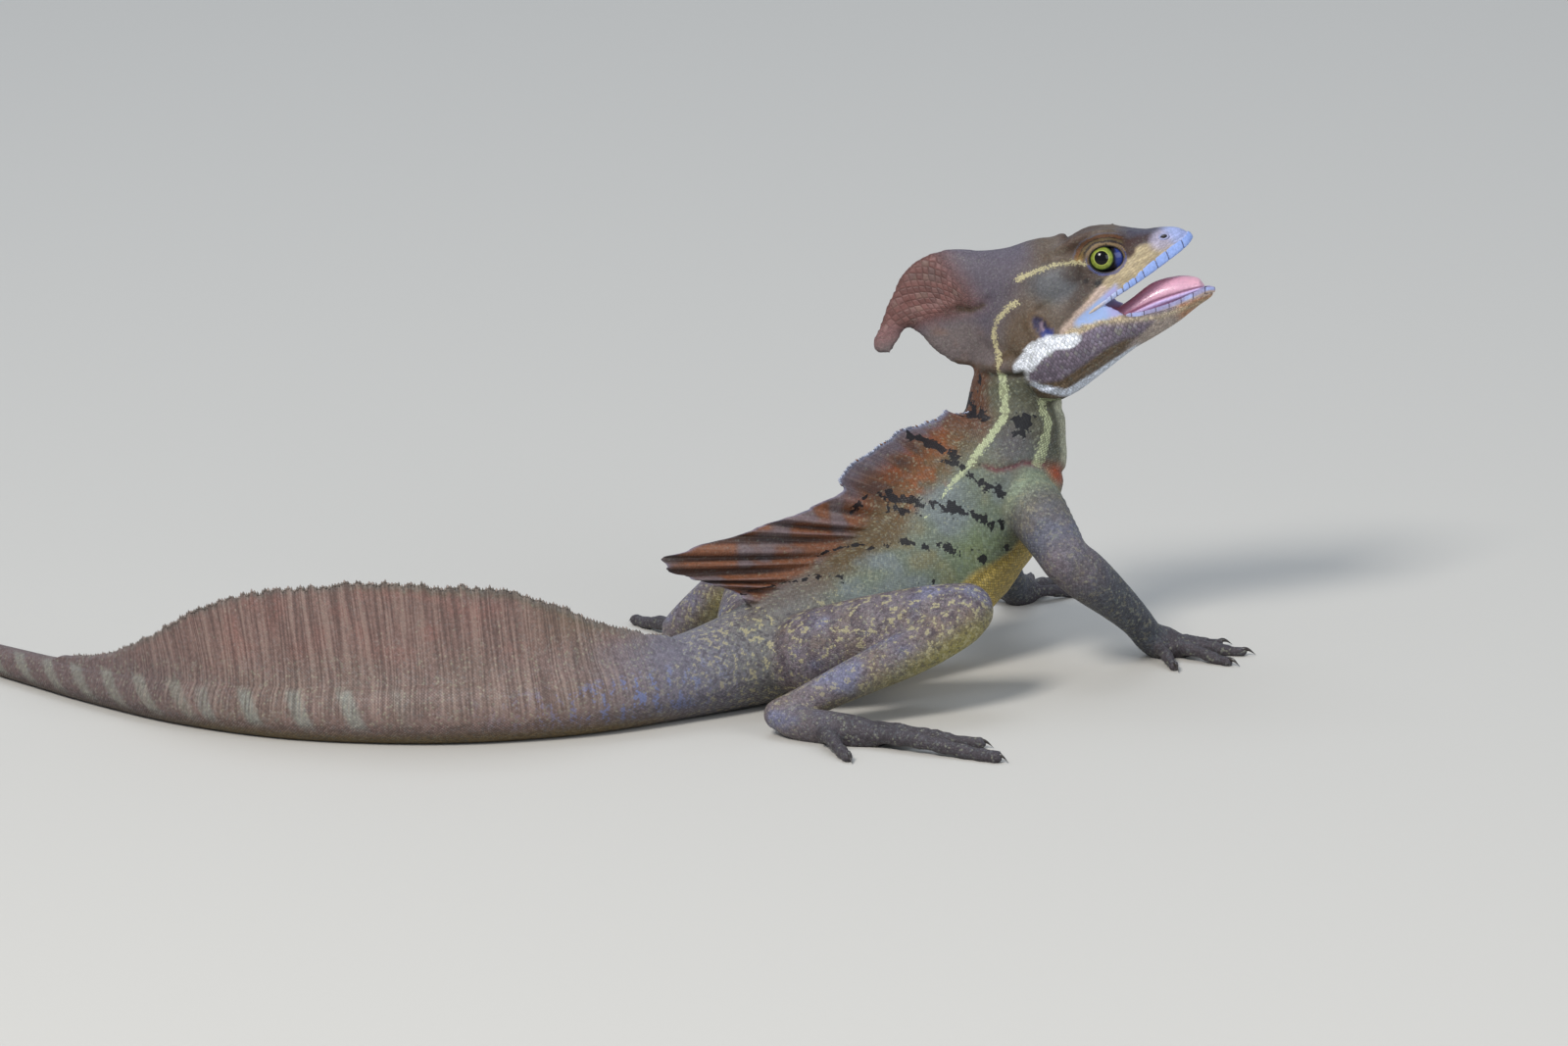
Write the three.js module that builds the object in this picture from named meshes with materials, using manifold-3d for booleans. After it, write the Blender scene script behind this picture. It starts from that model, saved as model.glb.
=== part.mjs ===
// A life-size common basilisk, an adult male, as a still museum model: a long brown lizard that sits
// propped on its fore legs with its mouth open, a lobed crest on the head, a ray-stiffened sail along
// the back and another along the tail. Millimetres, +Z up, +X towards the head, the floor at z = 0.
// The origin is on the floor in the middle of the small flat under the hips.
import * as THREE from "three";
import { mergeVertices } from "three/addons/utils/BufferGeometryUtils.js";
import Module from "manifold-3d";

const wasm = await Module();
wasm.setup();

// Driving dimensions
const GAP = 0.3; // between touching pieces
const BODY_SIDES = 26;
const TAIL_SIDES = 20;
const LIMB_SIDES = 10;
const TOE_SIDES = 6;
const SLIVER = 0.06; // facets flatter than this merge into their neighbours
const FLOOR_SINK = 0.3; // how far round undersides are cut by the floor, which makes their flats

// The body line from the tail's tip to the back of the skull. Each station has its place, the
// heading of the animal there in degrees from +X, the half width, and the height of the flesh
// above and below the line.
const BODY = [
  { x: -430, y: 158, z: 0.9, heading: 13, half: 0.7, up: 0.8, down: 1.0 }, // tail tip
  { x: -388, y: 168, z: 1.5, heading: 0, half: 1.4, up: 1.7, down: 1.7 },
  { x: -338, y: 167, z: 2.1, heading: -8, half: 2.0, up: 2.4, down: 2.3 },
  { x: -292, y: 152, z: 2.7, heading: -25, half: 2.6, up: 3.1, down: 2.9 },
  { x: -255, y: 124, z: 3.2, heading: -43, half: 3.1, up: 3.6, down: 3.4 },
  { x: -228, y: 88, z: 3.6, heading: -52, half: 3.5, up: 4.0, down: 3.8 },
  { x: -203, y: 55, z: 4.1, heading: -52, half: 4.0, up: 4.6, down: 4.3 },
  { x: -181, y: 27, z: 5.0, heading: -49, half: 4.6, up: 5.6, down: 5.2 },
  { x: -156, y: 1, z: 6.1, heading: -40, half: 5.4, up: 6.8, down: 6.3 },
  { x: -125, y: -19, z: 7.3, heading: -22, half: 6.4, up: 8.2, down: 7.6 },
  { x: -87, y: -29, z: 8.4, heading: -2, half: 7.8, up: 9.4, down: 8.7 },
  { x: -52, y: -26, z: 9.4, heading: 14, half: 9.4, up: 10.0, down: 9.7 },
  { x: -23, y: -13, z: 11.2, heading: 26, half: 11.6, up: 10.8, down: 11.5 }, // vent
  { x: 0, y: 0, z: 14.2, heading: 30, half: 14.0, up: 13.8, down: 14.5 }, // hips
  { x: 17, y: 9.8, z: 17.9, heading: 30, half: 15.4, up: 16.6, down: 17.6 }, // loin
  { x: 35, y: 20.2, z: 24.3, heading: 30, half: 16.2, up: 19.0, down: 22.0 }, // middle of the trunk
  { x: 48.7, y: 28.1, z: 36, heading: 30, half: 16.0, up: 19.2, down: 24.2 }, // chest
  { x: 61, y: 35, z: 50, heading: 29, half: 14.6, up: 17.6, down: 22.2 }, // shoulders
  { x: 67, y: 38.4, z: 63.5, heading: 24, half: 11.4, up: 13.8, down: 17.2 }, // neck base
  { x: 67.5, y: 39.4, z: 74.5, heading: 14, half: 9.6, up: 9.8, down: 12.4 }, // neck
  { x: 71, y: 39, z: 84.5, heading: 4, half: 10.2, up: 9.6, down: 10.6 },
  { x: 78, y: 38, z: 93, heading: 0, half: 9.4, up: 8.8, down: 9.4 }, // back of the skull
];
const TAIL_TIP = 0;
const TAIL_END_TOP = 5.5;
const TAIL_MIDDLE_TOP = 9.2;
const TAIL_BASE_TOP = 12.35;
const TORSO_TOP = 17.55;
const NECK_TOP = 20.6;

// The sail of the back. Each station gives its place on the body line, the length of its ray, and
// how far the ray leans back from square to the back. A notch parts the low front lobe from the
// long rear one, which flies over the hips like a flag.
const BACK_SAIL = [
  { at: 18.5, length: 3.2, lean: -12 },
  { at: 17.9, length: 6.2, lean: -10 },
  { at: 17.4, length: 9.0, lean: -6 },
  { at: 16.8, length: 13.4, lean: 4 },
  { at: 16.4, length: 17.0, lean: 13 },
  { at: 16.1, length: 20.2, lean: 20 },
  { at: 15.85, length: 20.6, lean: 22 }, // rear corner of the front lobe
  { at: 15.68, length: 16.8, lean: 23 }, // notch
  { at: 15.48, length: 22.8, lean: 34 },
  { at: 15.12, length: 31.2, lean: 46 },
  { at: 14.79, length: 40.0, lean: 59 },
  { at: 14.52, length: 51.5, lean: 65 }, // tip of the rear lobe
  { at: 14.24, length: 52.6, lean: 68 },
  { at: 13.94, length: 39.8, lean: 69 },
  { at: 13.54, length: 27.6, lean: 69 },
  { at: 13.17, length: 11.5, lean: 68 },
  { at: 12.85, length: 2.4, lean: 60 },
];
const BACK_RAYS = 18;
const BACK_ROWS = 6;

// The sail of the tail: its place on the body line and the height of its rays above the flesh.
const TAIL_SAIL = [
  { at: 12.05, length: 1.4, lean: 8 },
  { at: 11.75, length: 4.0, lean: 3 },
  { at: 11.5, length: 6.9, lean: 0 },
  { at: 11.25, length: 11.0, lean: 0 },
  { at: 11.0, length: 16.0, lean: 0 },
  { at: 10.5, length: 23.6, lean: 1 },
  { at: 10.0, length: 26.7, lean: 2 },
  { at: 9.5, length: 28.0, lean: 4 },
  { at: 9.0, length: 26.6, lean: 5 },
  { at: 8.6, length: 24.4, lean: 7 },
  { at: 8.25, length: 20.4, lean: 10 },
  { at: 8.0, length: 16.2, lean: 12 },
  { at: 7.75, length: 11.9, lean: 14 },
  { at: 7.5, length: 8.6, lean: 16 },
  { at: 7.25, length: 5.2, lean: 17 },
  { at: 6.9, length: 2.8, lean: 18 },
  { at: 6.4, length: 1.2, lean: 20 },
];
const TAIL_SAIL_CUT = 9.45; // where the tail's sail is parted in two lengths
const TAIL_RAYS = [15, 15]; // rays of its front and its rear length
const TAIL_ROWS = 4;
const SAIL_ROOT = 1.1; // half thickness of a sail at its root, at a ray
const SAIL_EDGE = 0.42; // and at its edge
const SAIL_WEB = 0.64; // the web's share of a ray's thickness
const SAIL_SUNK = 4; // how far the root reaches into the back before it is cut
const SAIL_NOTCH = 0.05; // how far the edge dips between two rays, as a share of their length
const SAIL_SWAY = 1.1; // how far the edge waves from side to side

// The head's own frame: x forward along the line of the upper lip from the corner of the mouth,
// z square to it, y to the animal's left.
const HEAD_PLACE = { x: 96.2, y: 38, z: 97.6 };
const HEAD_PITCH = 35;
const HEAD_ROLL = 10; // the crown leans to the animal's left
const JAW_JOINT = { x: -19, z: 1 };
const GAPE = 22;
// Sections of the skull: the crown in the middle, the brow corner, the orbit's depth in the side,
// the cheek at its widest, the lip, and the palate in the middle.
const SKULL = [
  { x: 27.2, crown: 2.6, brow: 0.9, browZ: 2.3, side: 1.5, sideZ: 1.7, cheek: 1.8, cheekZ: 0.8, lip: 1.3, lipZ: 0.2, palate: 0.4 },
  { x: 25.6, crown: 4.9, brow: 2.0, browZ: 4.5, side: 3.3, sideZ: 3.3, cheek: 3.9, cheekZ: 1.6, lip: 3.5, lipZ: -0.4, palate: 0.5 },
  { x: 22.4, crown: 7.3, brow: 3.0, browZ: 6.8, side: 4.5, sideZ: 4.6, cheek: 5.6, cheekZ: 2.0, lip: 5.3, lipZ: -0.6, palate: 0.9 },
  { x: 17.0, crown: 10.4, brow: 4.4, browZ: 9.9, side: 5.7, sideZ: 6.6, cheek: 7.7, cheekZ: 2.4, lip: 7.5, lipZ: -0.6, palate: 1.5 },
  { x: 12.0, crown: 14.4, brow: 6.9, browZ: 14.3, side: 6.6, sideZ: 9.0, cheek: 9.2, cheekZ: 2.8, lip: 9.0, lipZ: -0.5, palate: 1.9 },
  { x: 6.0, crown: 18.3, brow: 8.9, browZ: 18.4, side: 7.3, sideZ: 10.6, cheek: 10.4, cheekZ: 3.4, lip: 10.2, lipZ: -0.2, palate: 2.3 },
  { x: 0.0, crown: 19.6, brow: 8.9, browZ: 19.2, side: 8.4, sideZ: 11.4, cheek: 11.6, cheekZ: 4.0, lip: 11.3, lipZ: 0.2, palate: 2.2 },
  { x: -7.0, crown: 21.6, brow: 8.0, browZ: 19.0, side: 10.4, sideZ: 12.0, cheek: 12.8, cheekZ: 5.0, lip: 12.2, lipZ: 0.6, palate: 1.6 },
  { x: -14.0, crown: 23.0, brow: 7.2, browZ: 19.8, side: 11.6, sideZ: 12.4, cheek: 13.5, cheekZ: 5.4, lip: 12.6, lipZ: 0.4, palate: 0.0 },
  { x: -21.0, crown: 23.0, brow: 6.4, browZ: 19.6, side: 11.2, sideZ: 12.6, cheek: 12.8, cheekZ: 5.4, lip: 11.6, lipZ: -0.6, palate: -2.0 },
  { x: -28.0, crown: 21.4, brow: 5.2, browZ: 17.8, side: 9.2, sideZ: 11.6, cheek: 10.6, cheekZ: 5.2, lip: 9.2, lipZ: -0.4, palate: -2.4 },
  { x: -33.5, crown: 17.5, brow: 3.6, browZ: 15.2, side: 6.4, sideZ: 10.6, cheek: 7.2, cheekZ: 6.0, lip: 6.0, lipZ: 1.2, palate: -0.6 },
];
// Sections of the lower jaw and throat in the jaw's frame, whose origin is its joint: the half
// width and height of the lip, the widest place of the side, and the throat's half width and depth.
const JAW = [
  { x: 45.4, lip: 1.1, lipZ: 2.0, side: 1.2, sideZ: 1.2, throat: 0.8, throatZ: 0.6, floor: 1.6 },
  { x: 43.6, lip: 2.9, lipZ: 2.5, side: 3.2, sideZ: 0.8, throat: 1.8, throatZ: -0.4, floor: 1.2 },
  { x: 40.0, lip: 5.1, lipZ: 2.0, side: 5.5, sideZ: 0.0, throat: 3.0, throatZ: -1.7, floor: 0.0 },
  { x: 34.0, lip: 7.4, lipZ: 1.1, side: 7.9, sideZ: -1.0, throat: 4.4, throatZ: -4.3, floor: -1.0 },
  { x: 26.5, lip: 9.3, lipZ: 0.9, side: 10.0, sideZ: -1.8, throat: 5.6, throatZ: -6.6, floor: -1.0 },
  { x: 21.6, lip: 10.3, lipZ: 1.9, side: 11.2, sideZ: -2.2, throat: 6.2, throatZ: -7.9, floor: -0.2 },
  { x: 17.4, lip: 11.1, lipZ: 5.6, side: 12.1, sideZ: -2.6, throat: 6.8, throatZ: -9.5, floor: 1.6 },
  { x: 10.0, lip: 11.6, lipZ: 5.8, side: 13.2, sideZ: -3.2, throat: 7.4, throatZ: -12.6, floor: 3.6 },
  { x: 2.0, lip: 11.6, lipZ: 5.0, side: 13.6, sideZ: -4.0, throat: 7.6, throatZ: -15.6, floor: 4.6 },
  { x: -5.0, lip: 9.8, lipZ: 2.6, side: 12.4, sideZ: -4.6, throat: 7.0, throatZ: -15.9, floor: 3.0 },
  { x: -10.5, lip: 6.4, lipZ: -1.4, side: 8.4, sideZ: -5.2, throat: 4.8, throatZ: -10.8, floor: -1.4 },
];
const SKULL_SIDES = 26;
const JAW_SIDES = 22;

const EYE = { x: 5.2, y: 4.9, z: 10.0, radius: 4.9 };
const LID = 0.8; // thickness of the eyelids
const OPENING = { length: 4.3, height: 3.7 }; // half sizes of the gap between the lids
const NOSTRIL = { x: 21.9, y: 4.5, z: 5.1 };
const EAR = { x: -17.4, y: 13.6, z: 7.2, length: 2.4, height: 3.9, depth: 1.6, turn: 30 };

// The crest of the head in the head's frame: its outline from the crown over the top, round the
// hanging tip and back along the lower edge to the nape.
const CREST_OUTLINE = [
  [-1.0, 19.6], [-3.6, 23.2], [-8.0, 25.6], [-14.6, 27.9], [-20.4, 31.3], [-26.4, 36.2], [-33.0, 38.9],
  [-40.0, 39.1], [-47.2, 36.0], [-53.4, 32.1], [-58.6, 29.0], [-59.5, 25.8], [-56.6, 24.0], [-53.0, 25.5],
  [-49.2, 26.8], [-47.3, 23.4], [-46.6, 17.5], [-44.6, 11.6], [-41.2, 7.6], [-35.8, 3.4], [-29.5, 5.5],
];
const CREST_AXIS_FRONT = [-10, 17];
const CREST_AXIS_REAR = [-50, 29];
const CREST_RINGS = 5;
const CREST_EDGE = 0.5; // half thickness near the edge
const CREST_BASE = { x: -14, z: 12, half: 9.2, reach: 21 };

// The tongue, in the jaw's frame.
const TONGUE = [
  { x: 17, z: 0.6, half: 4.4, up: 2.0, down: 2.0 },
  { x: 23, z: 2.0, half: 5.2, up: 2.8, down: 2.8 },
  { x: 30, z: 3.4, half: 5.2, up: 4.2, down: 3.6 },
  { x: 37, z: 3.8, half: 4.8, up: 3.8, down: 3.2 },
  { x: 41.6, z: 3.6, half: 3.4, up: 2.4, down: 2.0 },
  { x: 43.2, z: 3.2, half: 1.6, up: 1.0, down: 1.0 },
];

// Limbs: the points of each bone line with the flesh's radius there.
const LIMBS = {
  fore_right: {
    root: [[62, 33, 49, 6.5], [71, 26, 45.5, 8.4], [77, 15, 38.6, 7.4], [80.5, 7, 33.6, 6.6]],
    shin: [[80.5, 7, 33.6, 6.6], [86, 11, 27.6, 6.8], [94, 19, 18.2, 5.4], [99, 24.5, 11.6, 4.5], [101.5, 27, 7.6, 4.2]],
    palm: [[100.6, 26.2, 8.4, 3.9], [103.4, 28.2, 5.2, 4.4], [107, 29.2, 3.0, 4.9], [110.6, 28.6, 2.0, 4.0]],
    toes: [
      { from: [103.6, 31.8, 2.6], heading: 62, length: 9.5, radius: 1.7 },
      { from: [108.4, 31.2, 2.2], heading: 18, length: 14, radius: 1.75 },
      { from: [109.4, 29, 2.2], heading: -12, length: 18.5, radius: 1.8 },
      { from: [108.8, 26.6, 2.2], heading: -38, length: 18.5, radius: 1.8 },
      { from: [105.4, 24.8, 2.4], heading: -74, length: 12.5, radius: 1.7 },
    ],
  },
  fore_left: {
    root: [[58, 39, 50, 6.5], [57.5, 51, 45, 8.4], [56, 62, 37, 7.4], [55, 70.5, 31, 6.6]],
    shin: [[55, 70.5, 31, 6.6], [58, 75, 25, 6.8], [63, 82, 16, 5.4], [66, 87, 9.6, 4.5], [67, 89, 7, 4.2]],
    palm: [[66.6, 88, 8, 3.9], [68, 91, 5, 4.4], [69.6, 94.6, 3.0, 4.9], [70.4, 98, 2.0, 4.0]],
    toes: [
      { from: [65.6, 92.6, 2.6], heading: 140, length: 9.5, radius: 1.7 },
      { from: [67.6, 97.4, 2.2], heading: 110, length: 14, radius: 1.75 },
      { from: [70.2, 98, 2.2], heading: 82, length: 18.5, radius: 1.8 },
      { from: [72.4, 96.4, 2.2], heading: 58, length: 18.5, radius: 1.8 },
      { from: [73.4, 93, 2.4], heading: 22, length: 12.5, radius: 1.7 },
    ],
  },
  hind_right: {
    root: [[2, -3, 13, 9], [11, -9, 15, 11.2], [27, -14, 20.5, 10.4], [43, -17, 25.5, 8.4], [53, -18, 27, 7.4]],
    shin: [[53, -18, 27, 7.4], [49.6, -22.5, 24.4, 6.9], [38, -27.5, 19, 6.4], [22, -31.5, 13, 5.3], [8, -35, 7.6, 4.4], [2, -37, 5.6, 4.2]],
    palm: [[2.4, -37, 5.4, 4.0], [6, -40.4, 4.2, 4.4], [14, -45, 3.4, 4.8], [22, -49, 2.6, 4.8], [26.5, -51, 2.2, 4.0]],
    toes: [
      { from: [16, -42.5, 2.6], heading: 8, length: 13, radius: 1.9 },
      { from: [23.5, -46.6, 2.4], heading: -8, length: 20, radius: 2.0 },
      { from: [25.5, -49.4, 2.3], heading: -20, length: 31, radius: 2.1 },
      { from: [24.6, -52.2, 2.3], heading: -34, length: 41, radius: 2.2 },
      { from: [13, -47.6, 2.8], heading: -72, length: 21, radius: 2.0 },
    ],
  },
  hind_left: {
    root: [[-3, 5, 13, 9], [-3, 15, 15.5, 11], [-2, 28, 20, 10.2], [0, 39.5, 23.5, 8.4], [1, 46, 24.5, 7.4]],
    shin: [[1, 46, 24.5, 7.4], [-3, 49, 23, 7.2], [-10, 52.5, 18.5, 6.4], [-18, 56, 12.4, 5.1], [-23.5, 58.6, 7.4, 4.3], [-25, 59.4, 5.6, 4.1]],
    palm: [[-25, 59, 5.4, 4.0], [-23.4, 63.4, 4.2, 4.4], [-19.6, 71.4, 3.4, 4.8], [-15.6, 78.8, 2.6, 4.8], [-13.6, 82.4, 2.2, 4.0]],
    toes: [
      { from: [-14.6, 72.4, 2.6], heading: 26, length: 13, radius: 1.9 },
      { from: [-11.8, 78, 2.4], heading: 44, length: 20, radius: 2.0 },
      { from: [-11.6, 81.8, 2.3], heading: 56, length: 31, radius: 2.1 },
      { from: [-14.4, 83.8, 2.3], heading: 70, length: 41, radius: 2.2 },
      { from: [-23.2, 68.4, 2.8], heading: 124, length: 23, radius: 2.0 },
    ],
  },
};
const CLAW_LENGTH = 4.6;
const CLAW_RADIUS = 0.95;
const TOE_ARCH = 1.7; // how far a toe's middle joint rises

// Colours of the finishes
const BROWN = { color: 0x6b5545, roughness: 0.75, metalness: 0 };
const OLIVE = { color: 0x77724f, roughness: 0.75, metalness: 0 };
const RUST = { color: 0x7a4a35, roughness: 0.75, metalness: 0 };
const SLATE = { color: 0x55525a, roughness: 0.75, metalness: 0 };
const PINK = { color: 0xd98c9c, roughness: 0.35, metalness: 0 };
const IRIS = { color: 0x9aa03a, roughness: 0.1, metalness: 0 };

// Sums that the shapes share
const vec = (x, y, z) => new THREE.Vector3(x, y, z);
const rad = THREE.MathUtils.degToRad;
const lerp = THREE.MathUtils.lerp;

// Value of a smooth curve through numbers, a uniform Catmull-Rom spline, at a fractional index.
function smooth(values, t) {
  const last = values.length - 1;
  const i = Math.min(Math.max(Math.floor(t), 0), last - 1);
  const f = t - i;
  const b = values[i];
  const c = values[i + 1];
  const a = i > 0 ? values[i - 1] : 2 * b - c;
  const d = i + 2 <= last ? values[i + 2] : 2 * c - b;
  return b + 0.5 * f * (c - a + f * (2 * a - 5 * b + 4 * c - d + f * (3 * (b - c) + d - a)));
}

// Every named size of a list of stations at a fractional index.
function stationAt(list, t) {
  const out = {};
  for (const key of Object.keys(list[0])) out[key] = smooth(list.map((s) => s[key]), t);
  return out;
}

// Sizes of a sail whose stations are placed unevenly by `at`, at a place on the body line.
function sailAt(list, at) {
  let i = list.findIndex((s) => s.at <= at);
  if (i <= 0) i = i === 0 ? 1 : list.length - 1;
  const share = (list[i - 1].at - at) / (list[i - 1].at - list[i].at);
  return stationAt(list, i - 1 + Math.min(Math.max(share, 0), 1));
}

const steps = (from, to, count) => Array.from({ length: count + 1 }, (_, i) => lerp(from, to, i / count));

// Closed solid from rings of points, each ring with as many points, and a point in the middle of
// each end. The diagonals of the two halves of the rings mirror each other.
function loft(rings) {
  const n = rings[0].length;
  const points = rings.flat();
  const middle = (ring) => ring.reduce((sum, p) => sum.add(p), vec(0, 0, 0)).divideScalar(n);
  const first = points.push(middle(rings[0])) - 1;
  const last = points.push(middle(rings[rings.length - 1])) - 1;
  const faces = [];
  for (let i = 0; i + 1 < rings.length; i++) {
    for (let j = 0; j < n; j++) {
      const a = i * n + j;
      const b = i * n + ((j + 1) % n);
      if (j < n / 2) faces.push(a, b, b + n, a, b + n, a + n);
      else faces.push(a, b, a + n, b, b + n, a + n);
    }
  }
  const end = (rings.length - 1) * n;
  for (let j = 0; j < n; j++) {
    const k = (j + 1) % n;
    faces.push(first, k, j, last, end + j, end + k);
  }
  return solid(points, faces);
}

function solid(points, faces) {
  const geometry = new THREE.BufferGeometry().setFromPoints(points).setIndex(faces);
  return fromGeometry(geometry);
}

// A solid from a three.js geometry, turned outside out where its faces point in.
function fromGeometry(geometry) {
  geometry.deleteAttribute("normal");
  geometry.deleteAttribute("uv");
  const merged = mergeVertices(geometry, 1e-4);
  const build = (triVerts) =>
    new wasm.Manifold(
      new wasm.Mesh({ numProp: 3, vertProperties: merged.attributes.position.array, triVerts }),
    );
  const triVerts = new Uint32Array(merged.index.array);
  const made = build(triVerts);
  return made.volume() > 0 ? made : build(triVerts.reverse());
}

const join = (solids) => solids.reduce((sum, s) => sum.add(s));
const largest = (made) => made.decompose().reduce((a, b) => (b.volume() > a.volume() ? b : a));
const floorSlab = fromGeometry(new THREE.BoxGeometry(900, 600, 60).translate(-100, 0, -30));

// Ring of a rounded section: `half` to each side, `up` and `down` from the centre.
function sectionRing(centre, side, top, s, count, grow = 0) {
  return Array.from({ length: count }, (_, k) => {
    const angle = (2 * Math.PI * k) / count;
    const c = Math.cos(angle);
    const height = (c > 0 ? s.up : s.down) + grow;
    return centre
      .clone()
      .addScaledVector(side, (s.half + grow) * Math.sin(angle))
      .addScaledVector(top, height * c);
  });
}

// Place, directions and sizes of the body line at a fractional station.
function bodyFrame(t) {
  const s = stationAt(BODY, t);
  const ahead = stationAt(BODY, Math.min(t + 0.02, BODY.length - 1));
  const behind = stationAt(BODY, Math.max(t - 0.02, 0));
  const along = vec(ahead.x - behind.x, ahead.y - behind.y, ahead.z - behind.z).normalize();
  const level = vec(Math.sin(rad(s.heading)), -Math.cos(rad(s.heading)), 0);
  const side = level.addScaledVector(along, -level.dot(along)).normalize();
  const top = side.clone().cross(along).normalize();
  return { s, centre: vec(s.x, s.y, s.z), along, side, top };
}

function bodyPiece(from, to, count, grow = 0, sides = BODY_SIDES) {
  const rings = steps(from, to, count).map((t) => {
    const f = bodyFrame(t);
    return sectionRing(f.centre, f.side, f.top, f.s, sides, grow);
  });
  return loft(rings);
}

// A stretch of the body that keeps half the gap to its neighbours at each end.
function bodyLength(from, to, count, sides) {
  const inset = (t, sign) => {
    const a = stationAt(BODY, t - 0.05);
    const b = stationAt(BODY, t + 0.05);
    const speed = 10 * Math.hypot(b.x - a.x, b.y - a.y, b.z - a.z);
    return t + (sign * GAP) / 2 / speed;
  };
  return bodyPiece(inset(from, 1), inset(to, -1), count, 0, sides).subtract(floorSlab);
}

// A sail: a thin sheet on the middle line of the back, two columns to each ray, thick at the ray
// and thin between, with its edge dipping between rays and waving a little from side to side.
function sail(list, rays, rows, from = list[0].at, to = list[list.length - 1].at) {
  const columns = 2 * rays;
  const rings = steps(from, to, columns).map((t, i) => {
    const f = bodyFrame(t);
    const s = sailAt(list, t);
    const onRay = i % 2 === 1;
    const rise = f.top.clone().multiplyScalar(Math.cos(rad(s.lean)));
    rise.addScaledVector(f.along, -Math.sin(rad(s.lean)));
    const length = s.length * (onRay ? 1 : 1 - SAIL_NOTCH);
    const root = f.centre.clone().addScaledVector(f.top, f.s.up - SAIL_SUNK);
    const face = (sign) => (h) => {
      const out = SAIL_SUNK + length * h;
      const sway = SAIL_SWAY * h * h * Math.sin(0.9 * i);
      const thick = lerp(SAIL_ROOT, SAIL_EDGE, h) * (onRay ? 1 : SAIL_WEB);
      const foot = h === 0 ? root : root.clone().addScaledVector(f.top, SAIL_SUNK);
      return foot
        .clone()
        .addScaledVector(rise, h === 0 ? 0 : out - SAIL_SUNK)
        .addScaledVector(f.side, sway + sign * thick);
    };
    const heights = [0, ...steps(0.04, 1, rows)];
    return [...heights.map(face(1)), ...heights.reverse().map(face(-1))];
  });
  return loft(rings);
}

// Points of the head's frame in the part's frame, and the same for the jaw's.
const headTurn = new THREE.Matrix4()
  .makeTranslation(HEAD_PLACE.x, HEAD_PLACE.y, HEAD_PLACE.z)
  .multiply(new THREE.Matrix4().makeRotationY(-rad(HEAD_PITCH)))
  .multiply(new THREE.Matrix4().makeRotationX(-rad(HEAD_ROLL)));
const jawTurn = headTurn
  .clone()
  .multiply(new THREE.Matrix4().makeTranslation(JAW_JOINT.x, 0, JAW_JOINT.z))
  .multiply(new THREE.Matrix4().makeRotationY(rad(GAPE)));
const inHead = (made) => made.transform(headTurn.toArray());
const inJaw = (made) => made.transform(jawTurn.toArray());

// Half a section through its corners, from the crown down the right side to the palate, as a smooth
// curve, with the left side mirrored.
function cornerRing(x, corners, count, grow = 0) {
  const half = count / 2;
  const ys = corners.map((c) => c[0]);
  const zs = corners.map((c) => c[1]);
  const middle = (zs[0] + zs[zs.length - 1]) / 2;
  const at = (k) => {
    const t = (k / half) * (corners.length - 1);
    const y = Math.max(smooth(ys, t), 0);
    const z = smooth(zs, t);
    return [y + (y > 0 ? grow : 0), z + grow * Math.sign(z - middle)];
  };
  const right = Array.from({ length: half + 1 }, (_, k) => at(k));
  const left = right.slice(1, half).reverse();
  return [
    ...right.map(([y, z]) => vec(x, -y, z)),
    ...left.map(([y, z]) => vec(x, y, z)),
  ];
}

function skull(grow = 0) {
  const rings = steps(0, SKULL.length - 1, 2 * (SKULL.length - 1)).map((t) => {
    const s = stationAt(SKULL, t);
    const corners = [
      [0, s.crown], [s.brow * 0.55, s.crown], [s.brow, s.browZ], [s.side, s.sideZ],
      [s.cheek, s.cheekZ], [s.lip, s.lipZ], [s.lip * 0.6, s.palate], [0, s.palate],
    ];
    return cornerRing(s.x, corners, SKULL_SIDES, grow);
  });
  return loft(rings);
}

function jawBone(grow = 0) {
  const rings = steps(0, JAW.length - 1, 2 * (JAW.length - 1)).map((t) => {
    const s = stationAt(JAW, t);
    const corners = [
      [0, s.floor], [s.lip * 0.7, s.floor], [s.lip, s.lipZ], [s.side, s.sideZ],
      [s.throat * 1.35, lerp(s.sideZ, s.throatZ, 0.62)], [s.throat * 0.6, s.throatZ], [0, s.throatZ],
    ];
    return cornerRing(s.x, corners, JAW_SIDES, grow);
  });
  return loft(rings);
}

// A tube of given radius through points, for ridges such as lips, brows and lids.
function ridge(points, radius, sides, count, closed = false) {
  const path = new THREE.CatmullRomCurve3(points, closed);
  const section = new THREE.Shape();
  section.absarc(0, 0, radius, 0, 2 * Math.PI);
  const geometry = new THREE.ExtrudeGeometry(section, {
    steps: count,
    curveSegments: sides,
    extrudePath: path,
  });
  return fromGeometry(geometry.index ? geometry.toNonIndexed() : geometry);
}

// The lip's line on one jaw, from one corner of the mouth round the tip to the other.
function lipLine(list, from, key, zKey, inset, lift) {
  const right = steps(from, 0, 6).map((t) => {
    const s = stationAt(list, t);
    return vec(s.x - inset, -(s[key] - inset), s[zKey] + lift);
  });
  const left = right.slice(0, -1).reverse();
  return [...right, ...left.map((p) => vec(p.x, -p.y, p.z))];
}

function ellipsoid(rx, ry, rz, x, y, z, turn = 0) {
  const geometry = new THREE.SphereGeometry(1, 14, 10)
    .scale(rx, ry, rz)
    .rotateY(rad(turn))
    .translate(x, y, z);
  return fromGeometry(geometry);
}

const bothSides = (make) => [-1, 1].map(make);

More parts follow.
